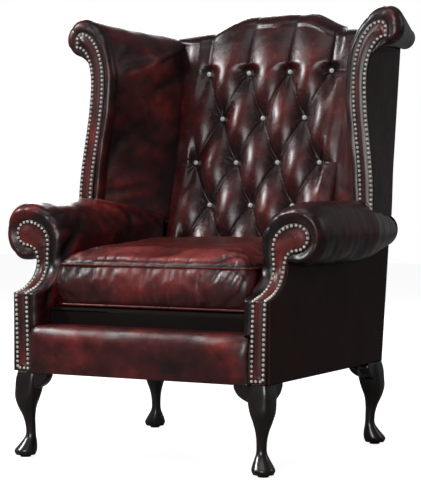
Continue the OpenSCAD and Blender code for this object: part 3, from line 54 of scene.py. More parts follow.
# %% Sizes shared by several pieces
BODY_FRONT_W, BODY_REAR_W, BODY_D, BODY_Z = 662, 636, 620, 199
BACK_SLOPE, PANEL_T, FACING_T = 0.15, 4, 4
INSIDE_FRONT_W, INSIDE_REAR_W, INSIDE_REAR_Y = 528, 448, 500
BORDER_TOP_Z, BORDER_BULGE, DECK_Z, DECK_FRONT_Y = 306, 12, 345, 45
ARM_X, ARM_Z, ARM_R, ARM_TURN_Z, ARM_TURN_REAR_Z = 345, 513, 59, 492, 535
ARM_REAR_X, ARM_REAR_R, ARM_CROWN = 300, 38, 8
SWEEP_Z, SWEEP_TOP_Z, SWEEP_D = 378, 446, 90
NAIL_X, NAIL_W, NAIL_MARGIN, NAIL_PITCH, NAIL_R, NAIL_H = 288, 28, 6.5, 10.7, 3.5, 3.2
TUCKED = NAIL_MARGIN - 3.5
WING_Y, WING_LEAN = 385, 0.06
CREST_Z, SHOULDER_Z, CREST_FLAT, CREST_SHOULDER, CREST_ROLL = 1052, 1014, 100, 178, 34
MIDDLE_Y = (BODY_D + BACK_SLOPE * (CREST_Z - CREST_ROLL - BODY_Z) - BORDER_BULGE) / 2
RIGHT, LEFT = 1, -1
SIDES = {RIGHT: "right", LEFT: "left"}


def lerp(a, b, t):
    """The value a share t of the way from a to b."""
    return a + (b - a) * t


def unit(t):
    """The value held between 0 and 1."""
    return np.clip(t, 0, 1)


def ease(t):
    """A share that starts and ends without a kink: three t squared less two t cubed."""
    t = unit(t)
    return t * t * (3 - 2 * t)


def spread(*coordinates):
    """Points from their coordinates, each spread over the others' rows and columns."""
    return np.stack(np.broadcast_arrays(*coordinates), -1)


def arc(cx, cz, rx, rz, start, end, count):
    """Points on an ellipse: centre plus radius times cosine and sine of an angle in degrees."""
    t = np.radians(np.linspace(start, end, count + 1))
    return spread(cx + rx * np.cos(t), cz + rz * np.sin(t))


def back_y(z):
    """Depth of the outside back: it leans back by a fixed run for each unit of rise."""
    return BODY_D + BACK_SLOPE * (z - BODY_Z)


def panel_x(y):
    """Half-width of the outside panels: it narrows evenly from front to back."""
    return BODY_FRONT_W / 2 - (BODY_FRONT_W - BODY_REAR_W) / 2 / BODY_D * y


def inside_x(y):
    """Half-width between the arms: it narrows evenly until the back pad."""
    share = np.minimum(y, INSIDE_REAR_Y) / INSIDE_REAR_Y
    return lerp(INSIDE_FRONT_W, INSIDE_REAR_W, share) / 2


print("middle of the chair lies", MIDDLE_Y, "mm behind the facings")

# %% [markdown]
# ## From a grid of points to a mesh
#
# A surface is a grid: rows one way, columns the other, one point in each place. Four neighbours
# make a face, so the whole mesh follows from array arithmetic. The left-hand pieces are the
# right-hand ones with x reversed. Most covers also get a thickness of 2 mm, that of the hide.

# %% Grid surfaces
COVER_T = 0.002
SMALL = 1e-5


def softly(p, scale, seed):
    """A smooth bumpy field from -1 to 1: six sine waves in fixed, seeded directions, summed."""
    waves = np.random.default_rng(seed)
    k = waves.normal(size=(6, 3)) / scale * 2
    phase = waves.uniform(0, 2 * np.pi, 6)
    return np.sin(p @ k.T + phase).sum(-1) / 6 ** 0.5


def link(name, data):
    """A new object in the scene's collection."""
    made = bpy.data.objects.new(name, data)
    bpy.context.scene.collection.objects.link(made)
    return made


def finish_mesh(name, mesh, material, body="chair_frame"):
    """Makes the object, shades it smooth, gives it a finish and lets it ride on its body."""
    piece = link(name, mesh)
    mesh.polygons.foreach_set("use_smooth", np.ones(len(mesh.polygons), bool))
    mesh.materials.append(material)
    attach(piece, body)
    return piece


def store_rub_and_shade(mesh, rub_and_shade):
    """Stores each point's rub number in the mesh, where the shader reads it."""
    wear = mesh.attributes.new("rub_and_shade", "FLOAT", "POINT")
    wear.data.foreach_set("value", unit(rub_and_shade).astype(np.float32).ravel())


def raw_mesh(name, points, faces, rub_and_shade=None):
    """A mesh from points in metres and faces as rows of corner numbers."""
    mesh = bpy.data.meshes.new(name)
    sides = faces.shape[1]
    mesh.vertices.add(len(points))
    mesh.vertices.foreach_set("co", points.astype(np.float32).ravel())
    mesh.loops.add(faces.size)
    mesh.loops.foreach_set("vertex_index", faces.astype(np.int32).ravel())
    mesh.polygons.add(len(faces))
    mesh.polygons.foreach_set("loop_start", np.arange(0, faces.size, sides, dtype=np.int32))
    if rub_and_shade is not None:
        store_rub_and_shade(mesh, rub_and_shade)
    mesh.update(calc_edges=True)
    return mesh


def grid_faces(rows, cols, loop_rows=False, loop_cols=False):
    """Corner numbers of every square of the grid, the last joined to the first where it loops."""
    i = np.arange(rows if loop_rows else rows - 1)[:, None]
    j = np.arange(cols if loop_cols else cols - 1)[None, :]
    i2, j2 = (i + 1) % rows, (j + 1) % cols
    return spread(i * cols + j, i2 * cols + j, i2 * cols + j2, i * cols + j2).reshape(-1, 4)


def in_frame(p, side=RIGHT):
    """Millimetres in the chair's measures to metres in the frame, mirrored for the left."""
    return (np.asarray(p, float) * [side, 1, 1] - [0, MIDDLE_Y, 0]) / 1000


def turned_out(points, faces, away):
    """The faces, all reversed if they look against the direction away from the inside. The
    normal of a square is the cross product of its diagonals."""
    a, b, c, d = (points[faces[:, k]] for k in range(4))
    return faces if (np.cross(c - a, d - b) * away).sum() >= 0 else faces[:, ::-1]


def surface(name, p, material, inside=None, looking=None, side=RIGHT, rub_and_shade=None,
            thickness=COVER_T, loop_rows=False, loop_cols=False):
    """A piece of the chair's frame from a grid of points in millimetres. Its faces are turned
    away from a point inside it, or along the direction in which it looks."""
    points = in_frame(p, side).reshape(-1, 3)
    faces = grid_faces(*p.shape[:2], loop_rows, loop_cols)
    if looking is None:
        away = points[faces].mean(1) - in_frame(inside, side)
    else:
        away = np.multiply(looking, [side, 1, 1])
    piece = finish_mesh(name, raw_mesh(name, points, turned_out(points, faces, away), rub_and_shade), material)
    if thickness:
        cover = piece.modifiers.new("cover thickness", "SOLIDIFY")
        cover.thickness, cover.offset = thickness, -1
    return piece


print("grids become meshes with a cover", COVER_T * 1000, "mm thick")

# %% [markdown]
# ## Finishes
#
# A finish starts from the real material. The chair's leather is rub-off oxblood: the tanner
# sprays a nearly black top coat over red hide and wipes it off the high places, so the folds
# stay dark and the crowns turn red. The padded surfaces carry a number called rub, which says
# how worn each place is, with painted shade and painted highlight added to it in some places,
# and the shader reads it. One function adds a node; another turns hex colours into the linear
# values that light works in.

# %% Colour and node helpers
def hex_colour(text):
    """An sRGB hex value as linear red, green, blue and alpha, by the sRGB curve."""
    c = np.array([int(text[k:k + 2], 16) for k in (1, 3, 5)]) / 255
    c = np.where(c <= 0.04045, c / 12.92, ((c + 0.055) / 1.055) ** 2.4)
    return (*[float(v) for v in c], 1.0)


def add(tree, kind, inputs=None, **settings):
    """One shader node, with its settings, and its inputs linked or set."""
    node = tree.nodes.new("ShaderNode" + kind)
    for key, value in settings.items():
        setattr(node, key, value)
    for key, value in (inputs or {}).items():
        if isinstance(value, bpy.types.NodeSocket):
            tree.links.new(value, node.inputs[key])
        else:
            node.inputs[key].default_value = value
    return node


def new_material(name):
    """An empty material, ready for nodes."""
    material = bpy.data.materials.new(name)
    material.use_nodes = True
    material.node_tree.nodes.clear()
    return material, material.node_tree


def show(tree, shader, output="OutputMaterial"):
    """Links a shader to the output."""
    tree.links.new(shader.outputs[0], add(tree, output).inputs["Surface"])


def noise(tree, place, size_mm, detail, roughness=0.5, distortion=0.0):
    """Cloudy noise of a given size."""
    return add(tree, "TexNoise", {"Vector": place, "Scale": 1000 / size_mm, "Detail": detail,
                                  "Roughness": roughness, "Distortion": distortion}).outputs["Fac"]


def scaled(tree, value, factor, shift=0.0):
    """A value times a factor, plus a shift that may be a value too."""
    return add(tree, "Math", {0: value, 1: factor, 2: shift}, operation="MULTIPLY_ADD").outputs[0]


def ramp(tree, source, stops):
    """A colour ramp with the given places and hex colours."""
    node = add(tree, "ValToRGB", {"Fac": source})
    bar = node.color_ramp
    while len(bar.elements) < len(stops):
        bar.elements.new(0.5)
    for element, (place, colour) in zip(bar.elements, stops):
        element.position, element.color = place, hex_colour(colour)
    return node.outputs["Color"]


print("oxblood mid tone is", [round(v, 3) for v in hex_colour("#4a1618")[:3]])

# %% Rub-off leather
GRAIN_MM, SOFT_MM, PATCH_MM, MOTTLE_MM = 3.2, 16, 90, 26
PORE_DEPTH, RUB_AND_SHADE_WEIGHT = 0.12, 0.95


def leather(name, stops, spread_by=0.5, lift=0.0, gloss=0.31, specular=0.5, reads_rub_and_shade=True):
    """Rub-off hide: the rub number, broken up by two sizes of noise, picks a colour from dark
    top coat to bare red. The grain is drawn at 3 mm, coarser than real hide, so that it shows."""
    material, tree = new_material(name)
    place = add(tree, "TexCoord").outputs["Object"]
    mottle = noise(tree, place, MOTTLE_MM, 5.0, 0.65)
    clouds = add(tree, "Math", {0: noise(tree, place, PATCH_MM, 3.0, 0.55), 1: mottle}, operation="ADD")
    level = scaled(tree, clouds.outputs[0], spread_by, 0.5 + lift - spread_by)
    # The rub number holds the hide's wear, and on some pieces painted shade and painted highlight too.
    if reads_rub_and_shade:
        worn = scaled(tree, add(tree, "Attribute", attribute_name="rub_and_shade").outputs["Fac"], 1.0, -0.5)
        level = scaled(tree, worn, RUB_AND_SHADE_WEIGHT, level)
    cells = add(tree, "TexVoronoi", {"Vector": place, "Scale": 1000 / GRAIN_MM, "Randomness": 1.0},
                feature="DISTANCE_TO_EDGE")
    pores = add(tree, "Math", {0: cells.outputs["Distance"], 1: PORE_DEPTH}, operation="MINIMUM")
    swell = add(tree, "Bump", {"Height": noise(tree, place, SOFT_MM, 4.0, 0.6), "Strength": 0.22,
                               "Distance": 0.0022})
    hide = add(tree, "Bump", {"Height": pores.outputs[0], "Strength": 0.22, "Distance": 0.003,
                              "Normal": swell.outputs["Normal"]})
    show(tree, add(tree, "BsdfPrincipled", {
        "Base Color": ramp(tree, level, stops), "Roughness": scaled(tree, mottle, 0.22, gloss - 0.11),
        "Normal": hide.outputs["Normal"], "Coat Weight": 0.16 * specular, "Coat Roughness": 0.14,
        "IOR": 1.45, "Specular IOR Level": specular}))
    return material


OXBLOOD = [(0.10, "#0d0404"), (0.36, "#1d0808"), (0.60, "#3a0f10"), (0.82, "#5e1b19"), (1.0, "#7c302a")]
OUTSIDE_SHADE_TONES = [(0.1, "#1a0d0a"), (0.5, "#24130e"), (1.0, "#331812")]
DECK_SHADE_TONES = [(0.1, "#060202"), (0.9, "#120707")]
PIPING = [(0.1, "#2a0e0e"), (0.6, "#57201e"), (1.0, "#7c3530")]
pad_leather = leather("oxblood rub-off hide", OXBLOOD)
back_leather = leather("oxblood hide pulled tight by buttons", OXBLOOD, lift=0.03, gloss=0.25, specular=0.42)
facing_leather = leather("oxblood hide stretched over facings", OXBLOOD, lift=-0.07, spread_by=0.38,
                         gloss=0.33)
seat_leather = leather("oxblood seat hide", OXBLOOD, lift=0.04, spread_by=0.42, gloss=0.36)
# Painted shade: the outside hide is much darker than the rest.
outside_shade_leather = leather("outside hide darkened as painted shade", OUTSIDE_SHADE_TONES, gloss=0.46, specular=0.14, reads_rub_and_shade=False)
# Painted shade: the deck hide is nearly black, the shade of the gap under the cushion.
deck_shade_leather = leather("deck hide darkened as painted shade", DECK_SHADE_TONES, gloss=0.7, specular=0.12, reads_rub_and_shade=False)
piping_leather = leather("oxblood piping", PIPING, gloss=0.3, reads_rub_and_shade=False)
print("leathers:", [m.name for m in bpy.data.materials if "hide" in m.name or "piping" in m.name])

# %% [markdown]
# Lacquered mahogany, sawn beech, nickel, spring steel and the cloths are simpler: one pattern
# each, sized in millimetres, gives both the colour and the relief.

# %% Wood, metal and cloth
def patterned(name, height, stops, bump, depth, settings):
    """A material whose one pattern gives both its colour and its relief. height and settings
    are functions of the tree, since their nodes belong to it."""
    material, tree = new_material(name)
    pattern = height(tree, add(tree, "TexCoord").outputs["Object"])
    relief = add(tree, "Bump", {"Height": pattern, "Strength": bump, "Distance": depth})
    show(tree, add(tree, "BsdfPrincipled", {"Base Color": ramp(tree, pattern, stops),
                                            "Normal": relief.outputs["Normal"], **settings(tree, pattern)}))
    return material


def wood(name, pale, dark, line_mm, roughness, coat, bump):
    """Wood: noise stretched along the grain and warped, under varnish or bare."""
    def fibre(tree, place):
        along_grain = add(tree, "Mapping", {"Vector": place, "Scale": (1.0, 1.0, 0.12)})
        return noise(tree, along_grain.outputs[0], line_mm, 6.0, 0.6, 0.6)

    return patterned(name, fibre, [(0.3, dark), (0.7, pale)], bump, 0.0006,
                     lambda tree, _: {"Roughness": roughness, "Coat Weight": coat, "Coat Roughness": 0.12})


def metal(name, colour, roughness, stain_mm, tarnish, metallic=1.0):
    """Bare metal: its colour is its reflection, dulled in patches where fingers and air reach. Below a
    metallic of one, part of the colour is diffuse: a painted glint.
    """
    return patterned(name, lambda tree, place: noise(tree, place, stain_mm, 3.0),
                     [(0.3, tarnish), (0.6, colour)], 0.08, 0.0004,
                     lambda tree, stain: {"Metallic": metallic,
                                          "Roughness": scaled(tree, stain, 0.2, roughness - 0.1)})


def cloth(name, pale, dark, thread_mm):
    """Plain weave: two sets of crossing threads, as the product of two sine waves."""
    def weave(tree, place):
        warp, weft = (add(tree, "TexWave", {"Vector": place, "Scale": 50 / thread_mm, "Distortion": 0.4},
                          bands_direction=way).outputs["Fac"] for way in "XZ")
        return add(tree, "Math", {0: warp, 1: weft}, operation="MULTIPLY").outputs[0]

    return patterned(name, weave, [(0.0, dark), (0.8, pale)], 0.5, 0.0008, lambda *_: {"Roughness": 0.9})


mahogany = wood("mahogany stain under gloss lacquer", "#150906", "#070303", 9, 0.32, 0.35, 0.1)
beech = wood("sawn beech", "#c9a377", "#9a7448", 5, 0.7, 0.0, 0.5)
# Painted glint: the nails and buttons are near-white and only partly metallic, so their diffuse part shows as
# a bright glint.
nail_nickel_and_painted_glint = metal("nickel with painted glint", "#f6f2ea", 0.30, 4, "#cfc8bc", metallic=0.5)
button_nickel_and_painted_glint = metal("polished nickel buttons", "#ffffff", 0.34, 4, "#f4f0e8", metallic=0.3)
spring_steel = metal("oiled spring steel", "#7c8085", 0.38, 6, "#4a4d50")
old_brass = metal("antique brass", "#a98a4c", 0.35, 5, "#5f4a26")
jute = cloth("jute webbing", "#b59a6c", "#6f5a3a", 3.0)
black_cloth = cloth("black dust cloth", "#1d1c1c", "#090909", 2.0)
tape_cloth = cloth("woven zip tape", "#3a1a1a", "#1a0b0b", 1.5)
glide_felt = cloth("black felt glide", "#242424", "#0c0c0c", 1.2)
print("materials so far:", len(bpy.data.materials))

# %% [markdown]
# ## Relief on a surface
#
# Padding is never flat. These helpers lift a grid of points along its own normals. A crease is
# a valley with a soft ridge beside it, drawn along a line between two points.

# %% Relief helpers
def normals(p, outward):
    """Unit normals of a grid: the cross product of its two directions, turned to face outward."""
    n = np.cross(np.gradient(p, axis=0), np.gradient(p, axis=1))
    n /= np.linalg.norm(n, axis=-1, keepdims=True) + SMALL
    return n if (n * outward).sum() >= 0 else -n


def crease(a, b, start, end, width, depth):
    """Depth below the surface of a fold between two points of the plane (a, b): a Gaussian
    valley, less a softer ridge on one side, fading towards both ends."""
    d = np.subtract(end, start)
    length = np.hypot(*d)
    t = ((a - start[0]) * d[0] + (b - start[1]) * d[1]) / length ** 2
    off = ((a - start[0]) * d[1] - (b - start[1]) * d[0]) / length
    ends = ease(unit(t) / 0.3) * ease((1 - unit(t)) / 0.3)
    return depth * ends * (0.45 * np.exp(-((off - 2 * width) / width / 1.4) ** 2)
                           - np.exp(-(off / width) ** 2))


def creases(a, b, folds):
    """The sum of several folds. Each row of folds is a start, an end, a width and a depth."""
    return sum(crease(a, b, *fold) for fold in folds)


def offset_line(p, t):
    """A line in the plane moved sideways by t, to the left of its direction, corners mitred."""
    p = np.asarray(p, float)
    step = np.diff(p, axis=0)
    step /= np.linalg.norm(step, axis=1, keepdims=True)
    a, b = np.vstack([step[:1], step]), np.vstack([step, step[-1:]])
    n = spread(-(a + b)[:, 1], (a + b)[:, 0])
    return p + n * t / (1 + (a * b).sum(-1, keepdims=True))


def along(p, shares):
    """Points at given shares of a line's length."""
    p = np.asarray(p, float)
    run = np.concatenate([[0], np.cumsum(np.linalg.norm(np.diff(p, axis=0), axis=1))])
    return np.stack([np.interp(np.asarray(shares) * run[-1], run, p[:, k]) for k in range(p.shape[1])], -1)


print("a 6 mm crease is", round(float(-crease(0.0, 0.0, (-9, 0), (9, 0), 3, 6)), 2), "mm deep at its middle")

# %% [markdown]
# ## The arms' shape
#
# In section the arm is a roll that overhangs the outside, turns over and runs down inside. Its
# front sweeps back under the scroll. These functions give the roll and the sweep at any depth.

# %% Arm lines
ARM_END_Y = back_y(ARM_Z - ARM_REAR_R) - PANEL_T - 0.6


def arm_share(y):
    """Share of the way from the wing's front to the back, where the roll narrows."""
    return unit((y - WING_Y) / (ARM_END_Y - WING_Y))


def arm_x(y):
    """Middle of the roll across the chair."""
    return lerp(ARM_X, ARM_REAR_X, arm_share(y))


def arm_r(y):
    """Radius of the roll."""
    return lerp(ARM_R, ARM_REAR_R, arm_share(y))


def arm_top_r(y):
    """Height of the roll above its middle, with the crown of its padding."""
    return arm_r(y) + ARM_CROWN * ease((y - SWEEP_D) / ARM_R) * (1 - arm_share(y))


def arm_turn(y):
    """Height at which the inside of the arm turns upright."""
    return lerp(ARM_TURN_Z, ARM_TURN_REAR_Z, unit(y / INSIDE_REAR_Y) ** 2)


def arm_surface(x, y):
    """Height of the arm's upper surface: ellipses outside and inside the roll's middle."""
    out = ARM_Z + arm_top_r(y) * np.sqrt(unit(1 - ((x - arm_x(y)) / arm_r(y)) ** 2))
    rise = ARM_Z + arm_top_r(y) - arm_turn(y)
    run = arm_x(y) - inside_x(y)
    inn = arm_turn(y) + rise * np.sqrt(unit(1 - ((arm_x(y) - x) / run) ** 2))
    return np.where(x > arm_x(y), out, inn)


s = np.linspace(0, 1, 200)[:, None]
bend = 3 * s * (1 - s) ** 2 * [0.45, 0.1] + 3 * s ** 2 * (1 - s) * [0.98, 0.42] + s ** 3 * [1, 1]
SWEEP_LINE = bend * [SWEEP_D, SWEEP_TOP_Z - SWEEP_Z] + [0, SWEEP_Z]


def front_y(z):
    """Depth of the arm's front at a height: upright, then swept back, then upright again."""
    return np.interp(z, SWEEP_LINE[:, 1], SWEEP_LINE[:, 0])


HEAD_X, HEAD_Z, HEAD_R = ARM_X + 0.085 * ARM_R, ARM_Z - 0.034 * ARM_R, 0.458 * ARM_R
HEAD_LOW_Z = HEAD_Z - 0.88 * HEAD_R


def nail_row_x(z, outer):
    """Distance of a nail row from the middle: it leans outwards, and the pair pinches in."""
    lean = 0.18 * NAIL_W * ease((z - BODY_Z) / (SWEEP_TOP_Z - BODY_Z))
    pinch = 0.1 * NAIL_W * np.sin(np.pi * unit((z - SWEEP_Z) / (HEAD_LOW_Z - SWEEP_Z)))
    return NAIL_X + lean + (NAIL_W - pinch if outer else pinch)


NECK_R = HEAD_X - nail_row_x(HEAD_LOW_Z, True) - 0.6
NECK_Z = HEAD_Z - HEAD_R - NECK_R
row_z = np.concatenate([[BODY_Z + NAIL_MARGIN + 0.6, 290], np.linspace(SWEEP_Z, HEAD_LOW_Z, 11)])
outer_z = row_z[::-1]
outer_z = outer_z[outer_z < NECK_Z - NAIL_R]
arm_nail_line = np.concatenate([
    spread(nail_row_x(row_z, False), row_z),
    arc(HEAD_X, HEAD_LOW_Z, HEAD_X - nail_row_x(HEAD_LOW_Z, False), HEAD_Z + HEAD_R - HEAD_LOW_Z,
        165, 90, 12),
    arc(HEAD_X, HEAD_Z, HEAD_R, HEAD_R, 80, -90, 20),
    arc(HEAD_X, NECK_Z, NECK_R, NECK_R, 108, 180, 7),
    spread(nail_row_x(outer_z, True), outer_z)])
print("the arm roll ends", round(ARM_END_Y, 1), "mm back; nail line has", len(arm_nail_line), "points")

# %% [markdown]
# ## Arm pads
#
# Each arm is one hide over horsehair: from the tuck under the roll, over the top and down the
# inside. At the front it is pulled round the stuffing edge and tacked behind the facing, so the
# spare leather gathers in pleats that run outwards from the facing. The surface is a sweep of
# sections; its first part swings from the facing's outline to the first section on a quarter of
# a superellipse. Arms and wings share that swing, the pleats and the way they wear.

# %% The front edge of a pad
PAD_START, SQUARER = 3.6, 0.78


def stations(*counts):
    """Shares from 0 to 1, then from 1 to 2 and so on, with a number of places for each step."""
    steps = [k + np.linspace(0, 1, count)[1:] for k, count in enumerate(counts)]
    return np.concatenate([[0.0], *steps])


def front_edge(v):
    """Shares across and back of the front edge's swing. A power below one makes it squarer."""
    a = np.pi / 2 * unit(v)
    return np.sin(a) ** SQUARER, 1 - unit(np.cos(a)) ** SQUARER


def gathers(t, v, count, sway, wander, shift, power, fade):
    """Depth of the pleats from 0 to -1: a folded sine of the angle round the roll, whose spacing
    wanders. They are deepest on the front edge and die away behind it."""
    turn = 90 * np.clip(t, 0, 2)
    wave = np.sin(np.radians(count * turn + sway * np.sin(np.radians(wander * turn)) + shift))
    front = np.where(v <= 1, np.sin(np.pi * unit(v) ** 0.8) ** 0.8, 0)
    front = np.maximum(front, np.exp(-fade * unit(v - 1)) * (v > 0.6))
    return (np.abs(wave) ** power - 1) * front


def rolled_forward(p, v, amount):
    """The stuffing edge bulges towards the front, most half-way through its swing."""
    p[..., 1] -= amount * np.sin(np.pi * unit(v / 0.8)) ** 0.8


def tuck_wear(t, v, edge, tuck):
    """What the rub number loses behind the facing and in the tuck under the roll, where nothing
    wears the hide."""
    return edge * (1 - unit(v / 0.35)) + tuck * (1 - unit(t / 0.5))


# %% Arm pads
WALL_END_Z, NECK_TURN = BORDER_TOP_Z - 4, 19.7
ARM_SIDE_FOLDS = [((30, 330), (75, 470), 9, 4.5), ((60, 400), (150, 520), 11, 4.0),
                  ((85, 455), (210, 560), 10, 2.4), ((120, 330), (190, 480), 16, 2.2),
                  ((250, 380), (330, 520), 18, 1.8), ((330, 470), (395, 575), 10, 2.4)]
ARM_TOP_FOLDS = [((300, 120), (380, 150), 14, 0.8), ((310, 205), (372, 190), 12, 0.8),
                 ((296, 292), (360, 318), 14, 1.0), ((310, 356), (392, 372), 10, 1.6),
                 ((330, 250), (398, 262), 16, 0.7)]


def arm_columns(t):
    """The facing's outline and the roll's section at matching places. t runs 0 to 3: round the
    roll from the tuck, over the turn, then down the wall."""
    roll, wall = t <= 1, t > 2
    quarter, down = 90 * np.clip(t, 1, 2), unit(t - 2)

    def section(y):
        tuck = -np.degrees(np.arccos((panel_x(y) - PANEL_T - arm_x(y)) / arm_r(y)))
        a = np.radians(np.where(roll, lerp(tuck, 90, unit(t)), quarter))
        side = np.where(roll, arm_r(y), arm_x(y) - inside_x(y))
        base = np.where(roll, ARM_Z, arm_turn(y))
        top = np.where(roll, np.where(a > 0, arm_top_r(y), arm_r(y)), ARM_Z + arm_top_r(y) - arm_turn(y))
        return (np.where(wall, inside_x(y), arm_x(y) + side * np.cos(a)),
                np.where(wall, lerp(arm_turn(y), WALL_END_Z, down), base + top * np.sin(a)))

    degrees = np.where(roll, lerp(-90 - NECK_TURN, 90, unit(t)), quarter)
    angle, rim = np.radians(degrees), HEAD_R + TUCKED
    side = np.where(roll, rim, HEAD_X - nail_row_x(HEAD_LOW_Z, False) + TUCKED)
    base = np.where(roll, HEAD_Z, HEAD_LOW_Z)
    top = np.where(roll, rim, HEAD_Z + rim - HEAD_LOW_Z)
    x, z = HEAD_X + side * np.cos(angle), base + top * np.sin(angle)
    neck, neck_r = unit((-90 - degrees) / NECK_TURN) * np.pi / 2, NECK_R - TUCKED
    x = np.where(neck > 0, HEAD_X - neck_r * np.sin(neck), x)
    z = np.where(neck > 0, NECK_Z + neck_r * np.cos(neck), z)
    wall_z = lerp(HEAD_LOW_Z, WALL_END_Z, down)
    return np.where(wall, nail_row_x(wall_z, False) - TUCKED, x), np.where(wall, wall_z, z), section


def arm_pad(side):
    """One arm: the front edge, then sections one after the other to the back."""
    t = stations(56, 40, 46)[:, None]
    v = np.concatenate([np.linspace(0, 1, 22), 1 + np.linspace(0, 1, 130)[1:] ** 1.15])
    fx, fz, section = arm_columns(t)
    across, back = front_edge(v)
    reach = np.clip(0.95 * np.abs(section(SWEEP_D)[0] - fx) + 4, 12, 27)
    start = front_y(fz) + PAD_START
    rear = np.interp(t, [0.62, 1, 2, 3], [ARM_END_Y, 600, 506, 506])
    y = np.where(v <= 1, start + reach * back, lerp(start + reach, rear, unit(v - 1)))
    sx, sz = section(np.maximum(y, start - PAD_START + reach))
    to_rear = unit(v - 1) ** 4 * (1 - ease((t - 0.62) / 0.3))
    y = y + (BACK_SLOPE * (sz - ARM_Z + ARM_REAR_R) + 2) * to_rear
    p = spread(lerp(fx, sx, across), y, lerp(fz, sz, across))
    n = normals(p, spread(p[..., 0] - 312, -0.1, p[..., 2] - 470))
    inside = ease((t - 1.3) / 0.4)
    relief = 2.0 * gathers(t, v, 7.0, 26, 3.1, 40 * side, 0.45, 9) * ease((t - 0.12) / 0.2)
    relief = relief * (1 - ease((t - 2.15) / 0.35))
    relief = relief + creases(p[..., 1], p[..., 2], ARM_SIDE_FOLDS) * inside
    relief = relief + creases(p[..., 0], p[..., 1], ARM_TOP_FOLDS) * (1 - inside)
    place = p * [side, 1, 1]
    relief = relief + 1.5 * softly(place, 75, 3 + side) + 0.5 * softly(place, 24, 7 + side)
    under = 10 * ease(t / 0.25) * (1 - ease((t - 0.7) / 0.5))
    over = 5 * ease((t - 0.5) / 0.4) * (1 - ease((t - 1.2) / 0.6))
    fuller = (under + over) * (1 - unit(v - 1) ** 3)
    p = p + n * ((relief + fuller) * ease(v / 0.45) * unit(t / 0.06))[..., None]
    rolled_forward(p, v, 4.5)
    rub_and_shade = 0.52 + 0.10 * relief + 0.16 * np.exp(-((t - 1.05) / 0.45) ** 2) - 0.12 * inside
    # Painted light and shade: the whole left arm is painted lighter and the whole right arm darker.
    rub_and_shade = rub_and_shade - tuck_wear(t, v, 0.24, 0.22) + (0.14 if side == LEFT else -0.18)
    piece = surface(f"arm_pad_cover_{SIDES[side]}", p, pad_leather, (318, 300, 440),
                    side=side, rub_and_shade=rub_and_shade)
    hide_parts(f"arm_pad_{SIDES[side]}")
    return p


for side in SIDES:
    arm_points = arm_pad(side)
print("each arm pad has", arm_points.shape[0] * arm_points.shape[1], "points")

# %% [markdown]
# ## Nails and facings
#
# A facing is a board with a little wadding under the leather, and it hides the tacks of the arm
# pad. Dome nails run round it at equal steps. The board is modelled from its edge inwards: each
# point of the outline is joined to the nearest point of a middle line. The nails are one small
# dome, copied along the row by array arithmetic, each a hair's breadth out of place.

# %% Nails
DOME_SIDES, SET_ASKEW = 12, 0.12
DOME_RINGS = [(1.0, -0.3), (0.96, 0.25), (0.72, 0.72), (0.36, 0.95)]
turns = np.linspace(0, 2 * np.pi, DOME_SIDES, endpoint=False)
DOME = np.concatenate([spread(r * np.cos(turns), r * np.sin(turns), h) for r, h in DOME_RINGS]
                      + [[[0, 0, 1.0]]])
ring_faces = grid_faces(len(DOME_RINGS), DOME_SIDES, loop_cols=True)
last = len(DOME) - 1 - DOME_SIDES + np.arange(DOME_SIDES)
tip_faces = spread(len(DOME) - 1, last, np.roll(last, -1))


def domes(name, places, outward, radius, height, material, side=RIGHT):
    """Copies of one dome at many places: each is turned so that its top faces outward."""
    outward = np.asarray(outward, float)
    outward = outward / np.linalg.norm(outward, axis=-1, keepdims=True)
    across = np.cross([0.0, 0.0, 1.0], outward)
    across /= np.linalg.norm(across, axis=-1, keepdims=True)
    up = np.cross(outward, across)
    askew = np.random.default_rng(len(places)).normal(0, SET_ASKEW, (2, len(places)))
    at = places + across * askew[0][:, None] + up * askew[1][:, None]
    shape = at[:, None] + sum(way[:, None] * DOME[None, :, k:k + 1] * size for k, (way, size)
                              in enumerate(((across, radius), (up, radius), (outward, height))))
    first = len(DOME) * np.arange(len(places))[:, None, None]
    quads, tips = ((faces + first).reshape(-1, faces.shape[1]) for faces in (ring_faces, tip_faces))
    points = in_frame(shape.reshape(-1, 3), side)
    mesh = bpy.data.meshes.new(name)
    mesh.from_pydata(points.tolist(), [], quads.tolist() + tips.tolist())
    one = points[quads[0]]
    if np.cross(one[2] - one[0], one[3] - one[1]) @ (one.mean(0) - in_frame(places[0], side)) < 0:
        mesh.flip_normals()
    return finish_mesh(name, mesh, material)


def spaced(line, closed):
    """Nails at equal steps along a line, as near to the pitch as the length allows."""
    length = np.linalg.norm(np.diff(line, axis=0), axis=1).sum()
    count = round(length / NAIL_PITCH)
    return along(line, np.arange(count + (0 if closed else 1)) / count)


print("a dome has", len(DOME), "points")

# %% Facings
BOARD_POINTS, FIELD_D, RIM_R = 360, 9, 4.5


def facing_grid(outline, middle, depth, bulge_mm):
    """A board from its outline inwards. The rim turns back on a quarter circle, the field is
    flat under the nails and swells between the rows. The last ring runs on behind the other
    side's, so that no slit is left along the middle."""
    edge = along(np.vstack([outline, outline[:1]]), np.arange(BOARD_POINTS) / BOARD_POINTS)
    middle = along(middle, np.linspace(0, 1, 200))
    core = middle[np.argmin(((edge[:, None] - middle[None]) ** 2).sum(-1), axis=1)]
    width = np.linalg.norm(core - edge, axis=1)[:, None]
    share = np.concatenate([np.linspace(0, 0.3, 9), np.linspace(0.3, 1, 14)[1:], [1.3]])
    x, z = np.moveaxis(lerp(edge[:, None], core[:, None], share[:, None]), -1, 0)
    d = width * share
    rim = FACING_T * (1 - np.sqrt(1 - (1 - unit(d / RIM_R)) ** 2))
    swell = bulge_mm * ease((d - FIELD_D) / np.maximum(width - FIELD_D, 4)) * np.clip(width / 17, 1, 2.0)
    return spread(x, depth(z) + rim - swell + 1.8 * (share > 1), z), d


